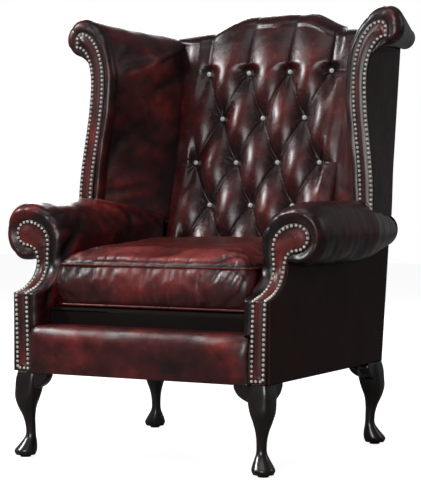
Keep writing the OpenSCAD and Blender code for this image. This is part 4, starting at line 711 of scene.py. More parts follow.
def facing(kind, side, outline, middle, depth, bulge_mm, dent, wear, seeds, at, outward):
    """One facing: its board, dented and worn in the field, and its row of nails. wear is the rub
    number at the rim, its rise in the field and the millimetres over which it rises."""
    p, d = facing_grid(outline, middle, depth, bulge_mm)
    place, at_rim, rise, run = p * [side, 1, 1], *wear
    p[..., 1] -= dent * softly(place, 34, seeds[0]) * ease((d - FIELD_D + 1) / 6)
    rub_and_shade = at_rim + rise * ease((d - FIELD_D + 1) / run) + 0.12 * softly(place, 60, seeds[1])
    piece = surface(f"{kind}_facing_cover_{SIDES[side]}", p, facing_leather,
                    looking=(0, -1, 0), side=side, rub_and_shade=rub_and_shade, thickness=0, loop_rows=True)
    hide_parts(f"{kind}_facing_{SIDES[side]}")
    # Painted glint: the nail heads' near-white, partly metallic finish.
    heads = domes(f"{kind}_nail_heads_{SIDES[side]}", at, outward, NAIL_R, NAIL_H, nail_nickel_and_painted_glint, side)
    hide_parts(f"{kind}_nails_{SIDES[side]}")


arm_rim = offset_line(arm_nail_line, NAIL_MARGIN)
FOOT_EDGE_Z = BODY_Z + 0.6
arm_outline = np.vstack([[arm_rim[0, 0], FOOT_EDGE_Z], arm_rim[1:-1], [arm_rim[-1, 0], FOOT_EDGE_Z]])
mid_z = np.linspace(BODY_Z + 18, HEAD_LOW_Z - 8, 30)
arm_middle = np.vstack([spread((nail_row_x(mid_z, False) + nail_row_x(mid_z, True)) / 2, mid_z),
                        [[HEAD_X - 12, HEAD_Z - 12], [HEAD_X - 1, HEAD_Z + 1]]])
x, z = arm_nail_line.T
at = spaced(np.vstack([spread(x, front_y(z), z), [x[0], 0, z[0]]]), True)
slope = (front_y(at[:, 2] + 1) - front_y(at[:, 2] - 1)) / 2
for side in SIDES:
    facing("arm", side, arm_outline, arm_middle, front_y, 1.9, 0.5, (0.46, 0.30, 7), (21, 5),
           at, spread(0, -1, slope))
print("nails on each arm:", len(at))

# %% [markdown]
# ## Wings
#
# The wing repeats the arm's idea in a taller, thinner form: a scroll at its head, a waist, and
# a foot that sits on the arm. Its front plane leans back a little. Straight lines join its
# front section to the line where it meets the back.

# %% Wing lines
WING_X, WING_Z, WING_R = 407, 989, 47
WING_REAR_X, WING_REAR_Z, WING_REAR_R = 328, 981, 25
FOOT_X, FOOT_W, WAIST_X, WAIST_W, WAIST_Z = 343, 55, 312, 59, 868
FOOT_Z = ARM_Z + ARM_R + ARM_CROWN
PAD_HALF_W, PAD_TOP_HALF_W, PAD_SLOPE, TUFT_Z, TUFT_Y = 219, 262, 0.309, 903, 652
TUFT_DEPTH, PITCH, TUFT_RISE, RISE_STEP, PAD_FOOT_Y = 30, 114.5, 115, 5, 490
WING_END_Y = back_y(WING_REAR_Z) - PANEL_T - 0.6


def wing_y(z):
    """Depth of the wing's front plane."""
    return WING_Y + WING_LEAN * (z - FOOT_Z)


def waist(z):
    """Share of the way from the waist down to the foot, on a cosine."""
    return 0.5 - 0.5 * np.cos(np.pi * unit((WAIST_Z - z) / (WAIST_Z - FOOT_Z)))


def tuft_y(z):
    """Depth of the plane that the buttons are pulled down to."""
    return TUFT_Y + PAD_SLOPE * (z - TUFT_Z)


def edge_y(z):
    """Depth of the back pad beside the wings."""
    return np.maximum(tuft_y(z) - 0.9 * TUFT_DEPTH, PAD_FOOT_Y)


def pad_edge(z):
    """Half-width of the back pad: it widens towards the shoulders."""
    return lerp(PAD_HALF_W, PAD_TOP_HALF_W, unit((z - FOOT_Z) / (SHOULDER_Z - FOOT_Z)) ** 2)


def wing_nail_x(z, outer):
    """The wing's nail rows follow its waist."""
    return lerp(WAIST_X + 0.49 * WAIST_W, FOOT_X + 0.42 * FOOT_W, waist(z)) + (0.97 * NAIL_W if outer else 0)


CAP_R, CAP_X, CAP_Z = 0.28 * WING_R, WING_X - 0.06 * WING_R, WING_Z - 0.11 * WING_R
inner_x, outer_x = wing_nail_x(WAIST_Z, False), wing_nail_x(WAIST_Z, True)
low = np.linspace(FOOT_Z + NAIL_R / 2, WAIST_Z, 13)
high = np.linspace(WAIST_Z, FOOT_Z - 2 * NAIL_PITCH, 13)[1:]
wing_nail_line = np.concatenate([
    spread(wing_nail_x(low, False), low),
    arc(CAP_X, WAIST_Z, CAP_X - inner_x, CAP_Z + CAP_R - WAIST_Z, 180, 90, 16)[1:],
    arc(CAP_X, CAP_Z, CAP_R, CAP_R, 90, 0, 6)[1:],
    arc(CAP_X + CAP_R, WAIST_Z, CAP_X + CAP_R - outer_x, CAP_Z - 0.4 * WING_R - WAIST_Z, 90, 180, 14),
    spread(wing_nail_x(high, True), high)])
wing_rim = offset_line(wing_nail_line, NAIL_MARGIN)
cap_end = 12 + 16 + 6
COVE_R = 0.62 * WING_R
COVE_Z = WING_Z - WING_R - COVE_R


def wing_outer_x(z):
    """The outer edge of the wing's front, with the cove under its scroll."""
    side = WAIST_X + WAIST_W
    cove = side + COVE_R - np.sqrt(np.clip(COVE_R ** 2 - (z - COVE_Z) ** 2, 0, None))
    return np.where(z < COVE_Z, lerp(side, FOOT_X + FOOT_W, waist(z)), cove)


print("the wing nail line has", len(wing_nail_line), "points")

# %% Wing pads
WING_SIDE_FOLDS = [((430, 905), (560, 940), 9, 2.6), ((470, 740), (600, 700), 14, 1.8),
                   ((405, 640), (450, 760), 12, 2.2), ((520, 850), (640, 905), 10, 2.0),
                   ((400, 600), (520, 625), 8, 2.4), ((455, 960), (560, 985), 8, 2.0)]
COVE_ANGLE, COVE_SHARE = 95, 0.78


def wing_front(t):
    """Facing outline and pad section at matching places. t runs 0 to 3: the roll, the curl and
    the wall."""
    roll, wall = t <= 1, t > 2
    a = np.radians(np.where(roll, lerp(-COVE_ANGLE, 90, unit(t)), 90 * np.clip(t, 1, 2)))
    wall_z = lerp(WAIST_Z, FOOT_Z, unit(t - 2))

    def scroll(x, z, radius, width, wall_x):
        top = z + radius - WAIST_Z
        return (np.where(wall, wall_x, x + np.where(roll, radius, width) * np.cos(a)),
                np.where(wall, wall_z, np.where(roll, z + radius * np.sin(a), WAIST_Z + top * np.sin(a))))

    sx, sz = scroll(WING_X, WING_Z, WING_R, WING_X - WAIST_X, lerp(WAIST_X, FOOT_X, waist(wall_z)))
    fx, fz = scroll(CAP_X, CAP_Z, CAP_R + TUCKED, CAP_X - inner_x + TUCKED,
                    wing_nail_x(wall_z, False) - TUCKED)
    cove = offset_line(wing_nail_line, TUCKED)[cap_end:cap_end + 13]
    under = along(cove, COVE_SHARE * unit(-np.degrees(a) / COVE_ANGLE).ravel())
    below = a < 0
    return np.where(below, under[:, :1], fx), np.where(below, under[:, 1:], fz), sx, sz


def wing_rear(t):
    """The line where the wing meets the back: a small roll, then down beside the back pad."""
    roll, curl = t <= 1, t <= 2
    tuck = -np.degrees(np.arccos((panel_x(WING_END_Y) - PANEL_T - WING_REAR_X) / WING_REAR_R))
    a = np.radians(lerp(tuck, 90, unit(t)))
    join = WING_REAR_Z - 0.5 * WING_REAR_R
    turn = np.pi / 2 * unit(t - 1)
    z = lerp(join, ARM_TURN_REAR_Z - 20, unit(t - 2))
    x = np.where(roll, WING_REAR_X + WING_REAR_R * np.cos(a),
                 np.where(curl, lerp(WING_REAR_X, pad_edge(join), np.sin(turn)), pad_edge(z)))
    end_y = WING_END_Y + 2 + BACK_SLOPE * WING_REAR_R * np.sin(a)
    y = np.where(roll, end_y, np.where(curl, lerp(end_y, edge_y(join) + 14, np.sin(turn)), edge_y(z) + 14))
    z = np.where(roll, WING_REAR_Z + WING_REAR_R * np.sin(a),
                 np.where(curl, lerp(join, WING_REAR_Z + WING_REAR_R, np.cos(turn)), z))
    return spread(x - 4 * ease((t - 1) / 0.5), y, z)


def wing_pad(side):
    """One wing: the front edge's swing, then straight lines to the rear."""
    t = stations(46, 50, 56)[:, None]
    v = np.concatenate([np.linspace(0, 1, 20), 1 + np.linspace(0, 1, 78)[1:]])
    fx, fz, sx, sz = wing_front(t)
    across, back = front_edge(v)
    reach = np.clip(0.95 * np.hypot(sx - fx, sz - fz) + 3, 11, 25)
    s = unit(v - 1)
    h = lerp(fz, sz, across)
    start = spread(sx, wing_y(sz) + PAD_START + reach, sz)
    p = np.where((v <= 1)[:, None], spread(lerp(fx, sx, across), wing_y(h) + PAD_START + reach * back, h),
                 lerp(start, wing_rear(t), s[:, None]))
    foot = arm_surface(np.maximum(p[..., 0], inside_x(p[..., 1])), p[..., 1]) - 5
    p[..., 2] = lerp(p[..., 2], foot, ease((t - 2.55) / 0.45))
    n = normals(p, spread(p[..., 0] - 372, -0.1, p[..., 2] - 800))
    relief = 2.6 * gathers(t, v, 6.0, 30, 2.7, 35 * side, 0.5, 12) * ease(t / 0.15)
    relief = relief * (1 - ease((t - 1.35) / 0.4))
    relief = relief + creases(p[..., 1], p[..., 2], WING_SIDE_FOLDS) * ease((t - 1.5) / 0.4)
    place = p * [side, 1, 1]
    relief = relief + 1.3 * softly(place, 70, 31 + side) + 0.4 * softly(place, 22, 37 + side)
    belly = 7 * np.sin(np.pi * s) * ease((t - 1.4) / 0.5) * (1 - 0.6 * ease((t - 2.5) / 0.5))
    hem = ease(v / 0.45) * unit(t / 0.05) * (1 - ease((s - 0.93) / 0.07))
    p = p + n * ((relief + belly) * hem)[..., None]
    rolled_forward(p, v, 4.0)
    rub_and_shade = 0.50 + 0.10 * relief + 0.10 * np.sin(np.pi * s) - 0.2 * ease((s - 0.7) / 0.3)
    rub_and_shade = rub_and_shade - tuck_wear(t, v, 0.20, 0.20) + 0.14 * np.exp(-((t - 1.1) / 0.35) ** 2)
    # Painted shade: the outer part of the roll, behind its front edge, is darker, and the right wing is a
    # little darker as a whole.
    rub_and_shade = rub_and_shade - 0.14 * (1 - ease((t - 0.5) / 0.4)) * ease((v - 0.6) / 0.5) - (0.06 if side == RIGHT else 0)
    piece = surface(f"wing_pad_cover_{SIDES[side]}", p, pad_leather, (372, 520, 790),
                    side=side, rub_and_shade=rub_and_shade)
    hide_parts(f"wing_pad_{SIDES[side]}")
    return p


for side in SIDES:
    wing_points = wing_pad(side)
print("each wing pad has", wing_points.shape[0] * wing_points.shape[1], "points")

# %% Wing facings
x = np.linspace(wing_rim[-1, 0], wing_rim[0, 0], 7)
wing_outline = np.vstack([wing_rim[1:-1], spread(x, arm_surface(x, WING_Y) + 1.0)])
mid_z = np.linspace(FOOT_Z + 8, WAIST_Z + 30, 30)
mid_x = (wing_nail_x(mid_z, False) + wing_nail_x(mid_z, True)) / 2
climb_x = CAP_X + CAP_R - 11
climb = arc(climb_x, WAIST_Z, climb_x - mid_x[-1], CAP_Z - 0.1 * WING_R - WAIST_Z, 160, 92, 12)
wing_middle = np.vstack([spread(mid_x, mid_z)[:26], climb, [[CAP_X, CAP_Z]]])
x, z = spaced(wing_nail_line, False).T
at = spread(x, wing_y(z), z)
lean = np.broadcast_to([0, -1, WING_LEAN], at.shape)
for side in SIDES:
    facing("wing", side, wing_outline, wing_middle, wing_y, 1.7, 0.4, (0.40, 0.26, 6), (51, 55),
           at, lean)
print("nails on each wing:", len(at))

# %% [markdown]
# ## The deep-buttoned back
#
# The upholsterer marks diamonds on the scrim, cuts the hide larger than the back, and pulls a
# button down through the stuffing at each corner. The spare leather folds into a pleat from
# button to button. With p and q counting diamonds along the two diagonals, sin(pi p) and
# sin(pi q) vanish on the pleats. Their product makes the puffs, and a smooth larger of the two
# keeps each pleat's crest above its buttons.

# %% The back's relief
ROWS, CREST_REACH, FIELD, BUTTON_R, BUTTON_H = 5, 62, 1.5 * PITCH, 5.8, 5.6
row_heights = np.array([TUFT_Z - TUFT_RISE * k + RISE_STEP / 2 * k * (k - 1) for k in range(ROWS)])
BUTTON_AT = np.array([(u * PITCH, row_heights[k]) for k in range(ROWS)
                      for u in ((-1.5, -0.5, 0.5, 1.5) if k % 2 == 0 else (-1, 0, 1))])


def crest(x):
    """Height of the crest across the chair: level in the middle, then down to the shoulders."""
    a = np.abs(x)
    drop = lerp(CREST_Z, SHOULDER_Z, ease((a - 0.8 * CREST_FLAT) / (1.1 * CREST_SHOULDER - 0.8 * CREST_FLAT)))
    return drop - 0.06 * np.clip(a - CREST_SHOULDER, 0, None)


def row_at(z):
    """Which row of buttons a height belongs to, with fractions between rows."""
    return np.interp(-z, -row_heights, np.arange(ROWS))


def diamonds(x, z):
    """Share of full height, 0 at a button and 1 in the middle of a puff. Above the top row the
    pleats run straight up, and fade towards the crest."""
    u = np.clip(x / PITCH, -1.5, 1.5) + 0.5
    k = row_at(z)
    a, b = np.abs(np.sin(np.pi * (u + k / 2))), np.abs(np.sin(np.pi * (u - k / 2)))
    larger = ((a ** 4 + b ** 4) / 2) ** 0.25
    puff = 0.52 * (a * b) ** 0.5 + 0.48 * larger ** 0.85
    above = unit((z - TUFT_Z) / (CREST_Z - CREST_ROLL - TUFT_Z))
    straight = 0.35 + 0.65 * np.abs(np.sin(np.pi * u)) ** 0.5
    open_top = lerp(puff, lerp(straight, 0.6 + 0.4 * straight, above), ease((z - TUFT_Z) / 26))
    side = unit((np.abs(x) - FIELD) / (pad_edge(z) - FIELD))
    fold = np.where(z > TUFT_Z, ease((z - TUFT_Z) / 95), np.abs(np.sin(np.pi * k / 2)))
    pulled = lerp(open_top, 0.45 + 0.52 * fold ** 0.6, ease(side / 0.4))
    return np.where(side > 0, lerp(pulled, 0.84, 0.7 * ease((side - 0.35) / 0.65)), open_top)


def back_face():
    """The face of the hide, from the deck up to the crest's roll. Columns are spaced evenly over
    the buttoned field, and closer over each side."""
    flat = FIELD / PAD_HALF_W
    across = np.concatenate([np.linspace(-1, -flat, 30)[:-1], np.linspace(-flat, flat, 181),
                             np.linspace(flat, 1, 30)[1:]])
    rows = np.concatenate([np.linspace(DECK_Z + 2, 470, 24), np.linspace(470, TUFT_Z, 185)[1:]])
    rise = np.linspace(0, 1, 42)[1:]
    lift = np.concatenate([0 * rows, rise])[:, None]
    rows = np.concatenate([rows, TUFT_Z + 0 * rise])[:, None]

    def x_at(z):
        side = unit((np.abs(across) - flat) / (1 - flat))
        return np.clip(across / flat, -1, 1) * FIELD + np.sign(across) * side * (pad_edge(z) - FIELD)

    z = lerp(rows, crest(x_at(SHOULDER_Z)) - CREST_ROLL, lift)
    x = x_at(z)
    y = np.maximum(tuft_y(z) - TUFT_DEPTH * 1.06 * diamonds(x, z), PAD_FOOT_Y)
    bent = unit((z - TUFT_Z - 10) / (CREST_Z - CREST_ROLL - TUFT_Z - 10)) ** 1.8
    return spread(x, y + 17 * bent, z)


def back_tufted():
    """The back's hide: its face, then over the crest on a half ellipse, with the puckers round
    each button, the tuck beside the wings, the wear, and painted shade towards and over the crest."""
    face = back_face()
    x, front, top = face[-1].T
    turn = np.radians(np.linspace(180, 0, 34)[1:])[:, None]
    gather = np.abs(np.sin(np.pi * (np.clip(x / PITCH, -1.5, 1.5) + 0.5))) ** 0.5
    rise = CREST_ROLL - 1.2 * (1 - gather) * (1 - 0.6 * np.sin(turn / 2) ** 2)
    y = lerp(back_y(top) - PANEL_T - 0.6, front, (0.5 - 0.5 * np.cos(turn)) ** 2)
    p = np.concatenate([face, spread(x, y, top + rise * np.sin(turn))])
    over = (np.arange(len(p)) - len(face))[:, None]
    rolled = unit(over / 6)
    n = normals(p, spread(0, p[..., 1] - 760, 0.1))
    limit = np.abs(p[..., 0]) / pad_edge(p[..., 2])
    share = diamonds(p[..., 0], p[..., 2])
    relief = (0.7 * softly(p, 70, 61) + 0.15 * softly(p, 24, 67)) * unit((share - 0.2) / 0.5)
    dx, dz = p[..., 0, None] - BUTTON_AT[:, 0], p[..., 2, None] - BUTTON_AT[:, 1]
    rays = np.sin(11 * np.arctan2(dz, dx) + 1.7 * np.arange(len(BUTTON_AT)))
    relief = relief + 0.8 * (rays * np.exp(-((np.hypot(dx, dz) - 14) / 8) ** 2)).sum(-1)
    p = p + n * relief[..., None]
    tuck = 19 * (1 - np.sqrt(1 - unit((limit - 0.86) / 0.14) ** 2))
    away = np.sign(p[..., 0])
    p[..., 1] += tuck * (1 - 0.8 * rolled)
    p[..., 0] += away * 6 * ease((limit - 0.93) / 0.07) * (1 - rolled)
    # Painted shade: the rub number falls above the top row of buttons and is held low over the crest's roll.
    rub_and_shade = 0.12 + 0.52 * share ** 1.1 + 0.06 * relief - 0.2 * ease((p[..., 2] - TUFT_Z - 20) / 70)
    rub_and_shade = lerp(rub_and_shade, 0.34 + 0.06 * gather + 0.06 * softly(p, 50, 69), rolled)
    outer = CREST_REACH * ease((limit - 0.9) / 0.1) * unit(over / 12)
    p[..., 0] += away * outer
    p[..., 2] -= 0.1 * outer
    piece = surface("back_pad_cover", p, back_leather, (0, 900, 700), rub_and_shade=rub_and_shade)
    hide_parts("back_pad")
    return p


back_points = back_tufted()
print("the back has", back_points.shape[0], "rows of", back_points.shape[1], "points")

# %% Back buttons
x, z = BUTTON_AT.T
at = spread(x, tuft_y(z) - 7.0, z)
leaning = np.broadcast_to([0, -1, PAD_SLOPE], at.shape)
# Painted glint: the buttons' near-white, partly metallic finish.
buttons = domes("back_button_heads", at, leaning, BUTTON_R, BUTTON_H, button_nickel_and_painted_glint)
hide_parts("back_buttons")
print("buttons:", len(at))

# %% [markdown]
# ## Seat cushion
#
# A boxed cushion: a top and a bottom panel joined by a side band, with piping sewn into both
# seams. The top is fuller than its pattern, so it crowns and its edges pucker along the piping.
# The outline is a rounded rectangle that narrows to the back. Rings of it, scaled towards the
# middle, make the crown. The height falls off with a power of the distance across.

# %% The cushion's rings
CUSHION_Y, CUSHION_REAR_Y, CUSHION_GAP, BAND_SWELL, CORNER_R = 57, 478, 2, 5, 30
LOW_SEAM, SEAM, CROWN, PIPE_R = 351, 443, 54, 3.0
CENTRE = np.array([0, (CUSHION_Y + CUSHION_REAR_Y) / 2])


def cushion_half(y):
    """Half-width of the cushion between the arms."""
    return inside_x(y) - CUSHION_GAP - BAND_SWELL


def cushion_outline(count):
    """The cushion's closed outline in plan, with drawn-in sides and round corners."""
    parts = []
    for sx, sy, start in ((1, -1, -90), (1, 1, 0), (-1, 1, 90), (-1, -1, 180)):
        cy = CUSHION_Y + BAND_SWELL + CORNER_R if sy < 0 else CUSHION_REAR_Y - CORNER_R
        a = np.radians(np.linspace(start, start + 90, 13))
        y = cy + CORNER_R * np.sin(a)
        parts.append(spread(sx * (cushion_half(y) - CORNER_R) + CORNER_R * np.cos(a), y))
    closed = np.concatenate(parts + [parts[0][:1]])
    return along(closed, np.arange(count) / count)


def crown(x, y):
    """Height above the top seam: rising to the back, falling at every edge."""
    v = unit((y - CUSHION_Y - BAND_SWELL) / (CUSHION_REAR_Y - CUSHION_Y - BAND_SWELL))
    u = unit(np.abs(x) / cushion_half(y))
    return CROWN * (1 - u ** 4.5) ** 0.7 * v ** 0.34 * (1 - v ** 24)


AROUND, PUCKERS = 520, 58
outline = cushion_outline(AROUND)
step = np.roll(outline, -1, 0) - np.roll(outline, 1, 0)
outward = spread(step[:, 1], -step[:, 0]) / np.linalg.norm(step, axis=1, keepdims=True)
flat_rear = ease((outline[:, 1] - CUSHION_REAR_Y + 2 * CORNER_R) / CORNER_R)
run = np.linalg.norm(step, axis=1).cumsum() / 2
draw = np.random.default_rng(11)
gap = np.abs(run[:, None] - np.sort(draw.uniform(0, run[-1], PUCKERS)))
gap = np.minimum(gap, run[-1] - gap)
pucker = np.exp(-(gap / draw.uniform(2.2, 4.2, PUCKERS)) ** 2) * draw.uniform(0.3, 1, PUCKERS)
pucker = pucker.max(1) * (1 - 0.75 * flat_rear)
top_seam = np.column_stack([outline - outward * (1.2 * pucker)[:, None], SEAM - 1.2 * pucker])
low_seam = spread(*outline.T, LOW_SEAM)
print("cushion outline is", round(float(run[-1])), "mm round")

# %% The cushion's blank
def cushion_blank():
    """Bottom, band and crown as one closed skin: rings from the middle of the bottom out to the
    low seam, up the band, and in over the crown."""
    def panel(s):
        return CENTRE + s * (outline - outward * (PIPE_R * 0.6) - CENTRE)

    bottom = [spread(*panel(s).T, LOW_SEAM - 4.6 * (1 - s ** 14)) for s in np.linspace(0, 1, 26)[1:]]
    full = BAND_SWELL + 1.5 + 5 * ease((140 - outline[:, 1]) / 80)
    band = []
    for t in np.linspace(0, 1, 24)[1:-1]:
        near_seam = pucker * np.exp(-(1 - t) / 0.11) * 0.7 + np.roll(pucker, 7) * np.exp(-t / 0.09) * 0.8
        out = (full * np.sin(np.pi * t) ** 0.85 - near_seam) * (1 - flat_rear) - PIPE_R * 0.6
        band.append(spread(*(outline + outward * out[:, None]).T, lerp(LOW_SEAM, SEAM, t)))
    top = []
    for s in 1 - np.linspace(0, 1, 76)[:-1] ** 1.12:
        edge = (1 - s) * 240
        rounded = 15 * (1 - flat_rear) * (1 - np.exp(-edge / 13)) * np.exp(-edge / 85)
        drawn_in = 4.2 * pucker * np.exp(-edge / 15) * (1 - np.exp(-edge / 3))
        x, y = panel(s).T
        top.append(spread(x, y, SEAM + crown(x, y) + rounded - drawn_in))
    return np.array(bottom + band + top)


rings = cushion_blank()
print("cushion blank has", rings.shape[0] * rings.shape[1], "points")

# %% [markdown]
# The blank is still too even for leather over soft foam. A voxel remesh turns it into small
# equal squares, and Blender's cloth solver blows them up from inside while the seams are held.
# The hide is cut nearly 2 % too full, so it buckles beside the seams as a real cushion's does.
# How far the solver moves a point is then limited, so the cushion still fits between the arms.

# %% The cushion blown up as cloth
VOXEL, FRAMES, PRESSURE, FULLER = 0.006, 20, 4.0, 0.018


def closed_skin(name, rings):
    """Rings joined into a closed skin. A point in the middle of each end ring closes it."""
    rows, cols = rings.shape[:2]
    points = in_frame(np.vstack([rings.reshape(-1, 3), rings[0].mean(0), rings[-1].mean(0)]))
    i, j, poles = np.arange(cols), (np.arange(cols) + 1) % cols, rows * cols
    low, high = spread(poles, i, j), spread(poles + 1, poles - cols + j, poles - cols + i)
    mesh = bpy.data.meshes.new(name)
    mesh.from_pydata(points.tolist(), [], [*grid_faces(rows, cols, loop_cols=True).tolist(),
                                           *low.tolist(), *high.tolist()])
    return mesh


def applied(piece):
    """A copy of a piece's mesh as its modifiers leave it."""
    graph = bpy.context.evaluated_depsgraph_get()
    return bpy.data.meshes.new_from_object(piece.evaluated_get(graph), depsgraph=graph)


def read(mesh, what):
    """Every vertex's place, in the chair's millimetres, or its normal."""
    values = np.empty(len(mesh.vertices) * 3, np.float32)
    mesh.vertices.foreach_get(what, values)
    values = values.reshape(-1, 3).astype(float)
    return values * 1000 + [0, MIDDLE_Y, 0] if what == "co" else values


def seam_near(p):
    """Distance of each point from the outline in plan, and the outline's nearest place."""
    plan, edge = p[:, :2].astype(np.float32), outline.astype(np.float32)
    near = ((edge ** 2).sum(1) - 2 * plan @ edge.T).argmin(1)
    return np.linalg.norm(p[:, :2] - outline[near], axis=1), near


blank = link("cushion_blank", closed_skin("cushion_blank", rings))
even = blank.modifiers.new("even squares", "REMESH")
even.mode, even.voxel_size = "VOXEL", VOXEL
squares = applied(blank)
blank.modifiers.clear()
blank.data = squares
before = read(squares, "co")
from_edge, near = seam_near(before)
height = before[:, 2]
from_seam = np.hypot(from_edge, np.minimum(np.abs(height - SEAM), np.abs(height - LOW_SEAM)))
sewn = blank.vertex_groups.new(name="sewn")
sewn.add(np.flatnonzero((from_seam < 7) | (height < LOW_SEAM - 2)).tolist(), 1.0, "REPLACE")
cloth_sim = blank.modifiers.new("leather skin", "CLOTH")
for key, value in {"quality": 6, "mass": 0.4, "bending_stiffness": 1.2, "vertex_group_mass": sewn.name,
                   "use_pressure": True, "uniform_pressure_force": PRESSURE, "shrink_min": -FULLER}.items():
    setattr(cloth_sim.settings, key, value)
cloth_sim.settings.effector_weights.gravity = 0
cloth_sim.collision_settings.use_collision = False
cloth_sim.point_cache.frame_start, cloth_sim.point_cache.frame_end = 1, FRAMES
for number in range(1, FRAMES + 1):
    bpy.context.scene.frame_set(number)
blown = read(applied(blank), "co")
bpy.context.scene.frame_set(1)
blank.modifiers.clear()
moved = blown - before
facing = read(squares, "normal")
limit = 1.0 + 6.0 * unit(np.maximum(facing[:, 2], -facing[:, 1])) ** 2
length = np.linalg.norm(moved, axis=1)
print("cloth moved the skin by", round(float(length.mean()), 1), "mm, at most", round(float(length.max()), 1))
moved *= (np.minimum(length, limit) / np.maximum(length, SMALL) * ease(from_seam / 18))[:, None]
squares.vertices.foreach_set("co", in_frame(before + moved).astype(np.float32).ravel())
finer = blank.modifiers.new("finer", "SUBSURF")
finer.levels, finer.render_levels = 1, 1
skin_mesh = applied(blank)
bpy.data.objects.remove(blank)
print("cushion skin has", len(skin_mesh.vertices), "points")

# %% The cushion's folds, wear and painted shade
TOP_FOLDS = [((150, 70), (242, 96), 7, 4.2), ((170, 100), (246, 140), 9, 3.2), ((120, 64), (200, 72), 6, 3.0),
             ((-246, 120), (-160, 84), 8, 3.4), ((-150, 66), (-60, 74), 6, 2.6),
             ((-60, 76), (60, 90), 14, 1.6), ((206, 300), (246, 360), 9, 2.2),
             ((-240, 330), (-196, 260), 9, 2.0),
             ((-90, 120), (-10, 200), 16, 1.6), ((40, 220), (150, 270), 18, 1.5),
             ((-190, 300), (-80, 360), 18, 1.4), ((196, 160), (246, 230), 9, 2.4)]
BAND_FOLDS = [((228, 444), (196, 392), 6, 2.6), ((246, 436), (226, 372), 6, 2.4),
              ((182, 446), (168, 408), 5, 1.8), ((-232, 446), (-214, 398), 6, 2.2),
              ((-190, 446), (-182, 414), 5, 1.4), ((120, 352), (176, 372), 6, 1.4)]
skin, n = read(skin_mesh, "co"), read(skin_mesh, "normal")
from_edge, near = seam_near(skin)
x, y, z = skin.T.copy()
fold = pucker[near]
top = ease((z - SEAM - 3) / 14)
front = ease((95 - y) / 25) * (1 - top) * (z > LOW_SEAM)
relief = 1.2 * softly(skin, 85, 71) + 0.5 * softly(skin, 30, 73)
relief = relief + top * creases(x, y, TOP_FOLDS) + front * creases(x, z, BAND_FOLDS)
relief = relief - top * fold * 4.6 * np.exp(-from_edge / 22) * (1 - np.exp(-from_edge / 3))
relief = relief - (1 - top) * fold * 0.9 * np.exp(-np.abs(SEAM - z) / 10) * (z > LOW_SEAM + 10)
calm = (1 - flat_rear[near] * (1 - top)) * ease((z - LOW_SEAM) / 12) * (0.35 + 0.65 * top + 0.5 * front)
skin = skin + n * (relief * calm)[:, None]
beside = cushion_half(skin[:, 1]) + BAND_SWELL + 1
skin[:, 0] = np.clip(skin[:, 0], -beside, beside)
skin[:, 1] = np.where(skin[:, 2] < SEAM - 4, np.minimum(skin[:, 1], CUSHION_REAR_Y - 0.4), skin[:, 1])
z = skin[:, 2]
sat_on = ease((150 - y) / 110) * ease((z - LOW_SEAM) / 40) * np.exp(-(x / 150) ** 2)
rub_and_shade = 0.42 + 0.24 * sat_on + 0.08 * relief + 0.28 * top
rub_and_shade = rub_and_shade - 0.16 * fold * np.exp(-np.abs(z - SEAM) / 9) * np.exp(-from_edge / 12)
# Painted shade: a dark line on the top panel just above the top seam.
rub_and_shade = rub_and_shade - 0.45 * np.exp(-((z - SEAM - 4) / 5) ** 2 - (from_edge / 8) ** 2)
rub_and_shade = rub_and_shade - 0.08 * ease((np.abs(x) - 215) / 30) * top - 0.2 * ease((y - 400) / 70)
skin_mesh.vertices.foreach_set("co", in_frame(skin).astype(np.float32).ravel())
store_rub_and_shade(skin_mesh, rub_and_shade)
skin_mesh.update()
cover = finish_mesh("seat_cushion_cover", skin_mesh, seat_leather, body="cushion")
print("cushion box", skin.min(0).round(1), skin.max(0).round(1))

# %% [markdown]
# Piping is a cord wrapped in a bias strip of the same hide. It stands out of the seam, and its
# cover pulls where the panels pucker.

# %% Cushion piping
def piping(name, path, sides=10):
    """A closed tube: circles set square to a closed path in plan."""
    d = np.roll(path, -1, 0) - np.roll(path, 1, 0)
    side = spread(d[:, 1], -d[:, 0], 0)
    side /= np.linalg.norm(side, axis=1, keepdims=True)
    a = np.linspace(0, 2 * np.pi, sides, endpoint=False)[:, None]
    n = np.cos(a) * side[:, None] + np.sin(a) * [0, 0, 1.0]
    points = in_frame(path[:, None] + PIPE_R * n).reshape(-1, 3)
    faces = grid_faces(len(path), sides, True, True)
    faces = turned_out(points, faces, n.reshape(-1, 3)[faces[:, 0]])
    return finish_mesh(name, raw_mesh(name, points, faces), piping_leather, "cushion")


welt = np.tile(0.25 * np.random.default_rng(5).normal(size=AROUND), 3)
welt = np.convolve(welt, np.ones(7) / 7, "same")[AROUND:2 * AROUND]
outside = outward * (2.0 * (1 - flat_rear) + welt)[:, None]
pipes = [piping(f"cushion_piping_{name}", np.column_stack([line[:, :2] + outside, line[:, 2]]))
         for name, line in (("low", low_seam), ("top", top_seam))]
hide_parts("cushion_top", "cushion_band", "cushion_bottom", "cushion_core")
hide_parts("cushion_piping")
print("piping runs", round(float(run[-1])), "mm round each seam")

# %% [markdown]
# ## Front border and deck
#
# Below the cushion the front rail is padded with a roll and covered by a border, which tucks
# in at both facings. Behind it a hide covers the deck that the cushion lies on; its near-black
# colour is painted shade, that of the gap under the cushion.

# %% Border and deck
ROLL_D, ROLL_H = 26, 46
BORDER_FOLDS = [((-285, 282), (-190, 238), 13, 1.7), ((290, 290), (190, 246), 13, 1.8),
                ((-285, 228), (-170, 212), 14, 1.3), ((290, 238), (160, 212), 14, 1.4),
                ((-120, 296), (40, 288), 12, 0.9), ((60, 222), (190, 232), 14, 0.9)]


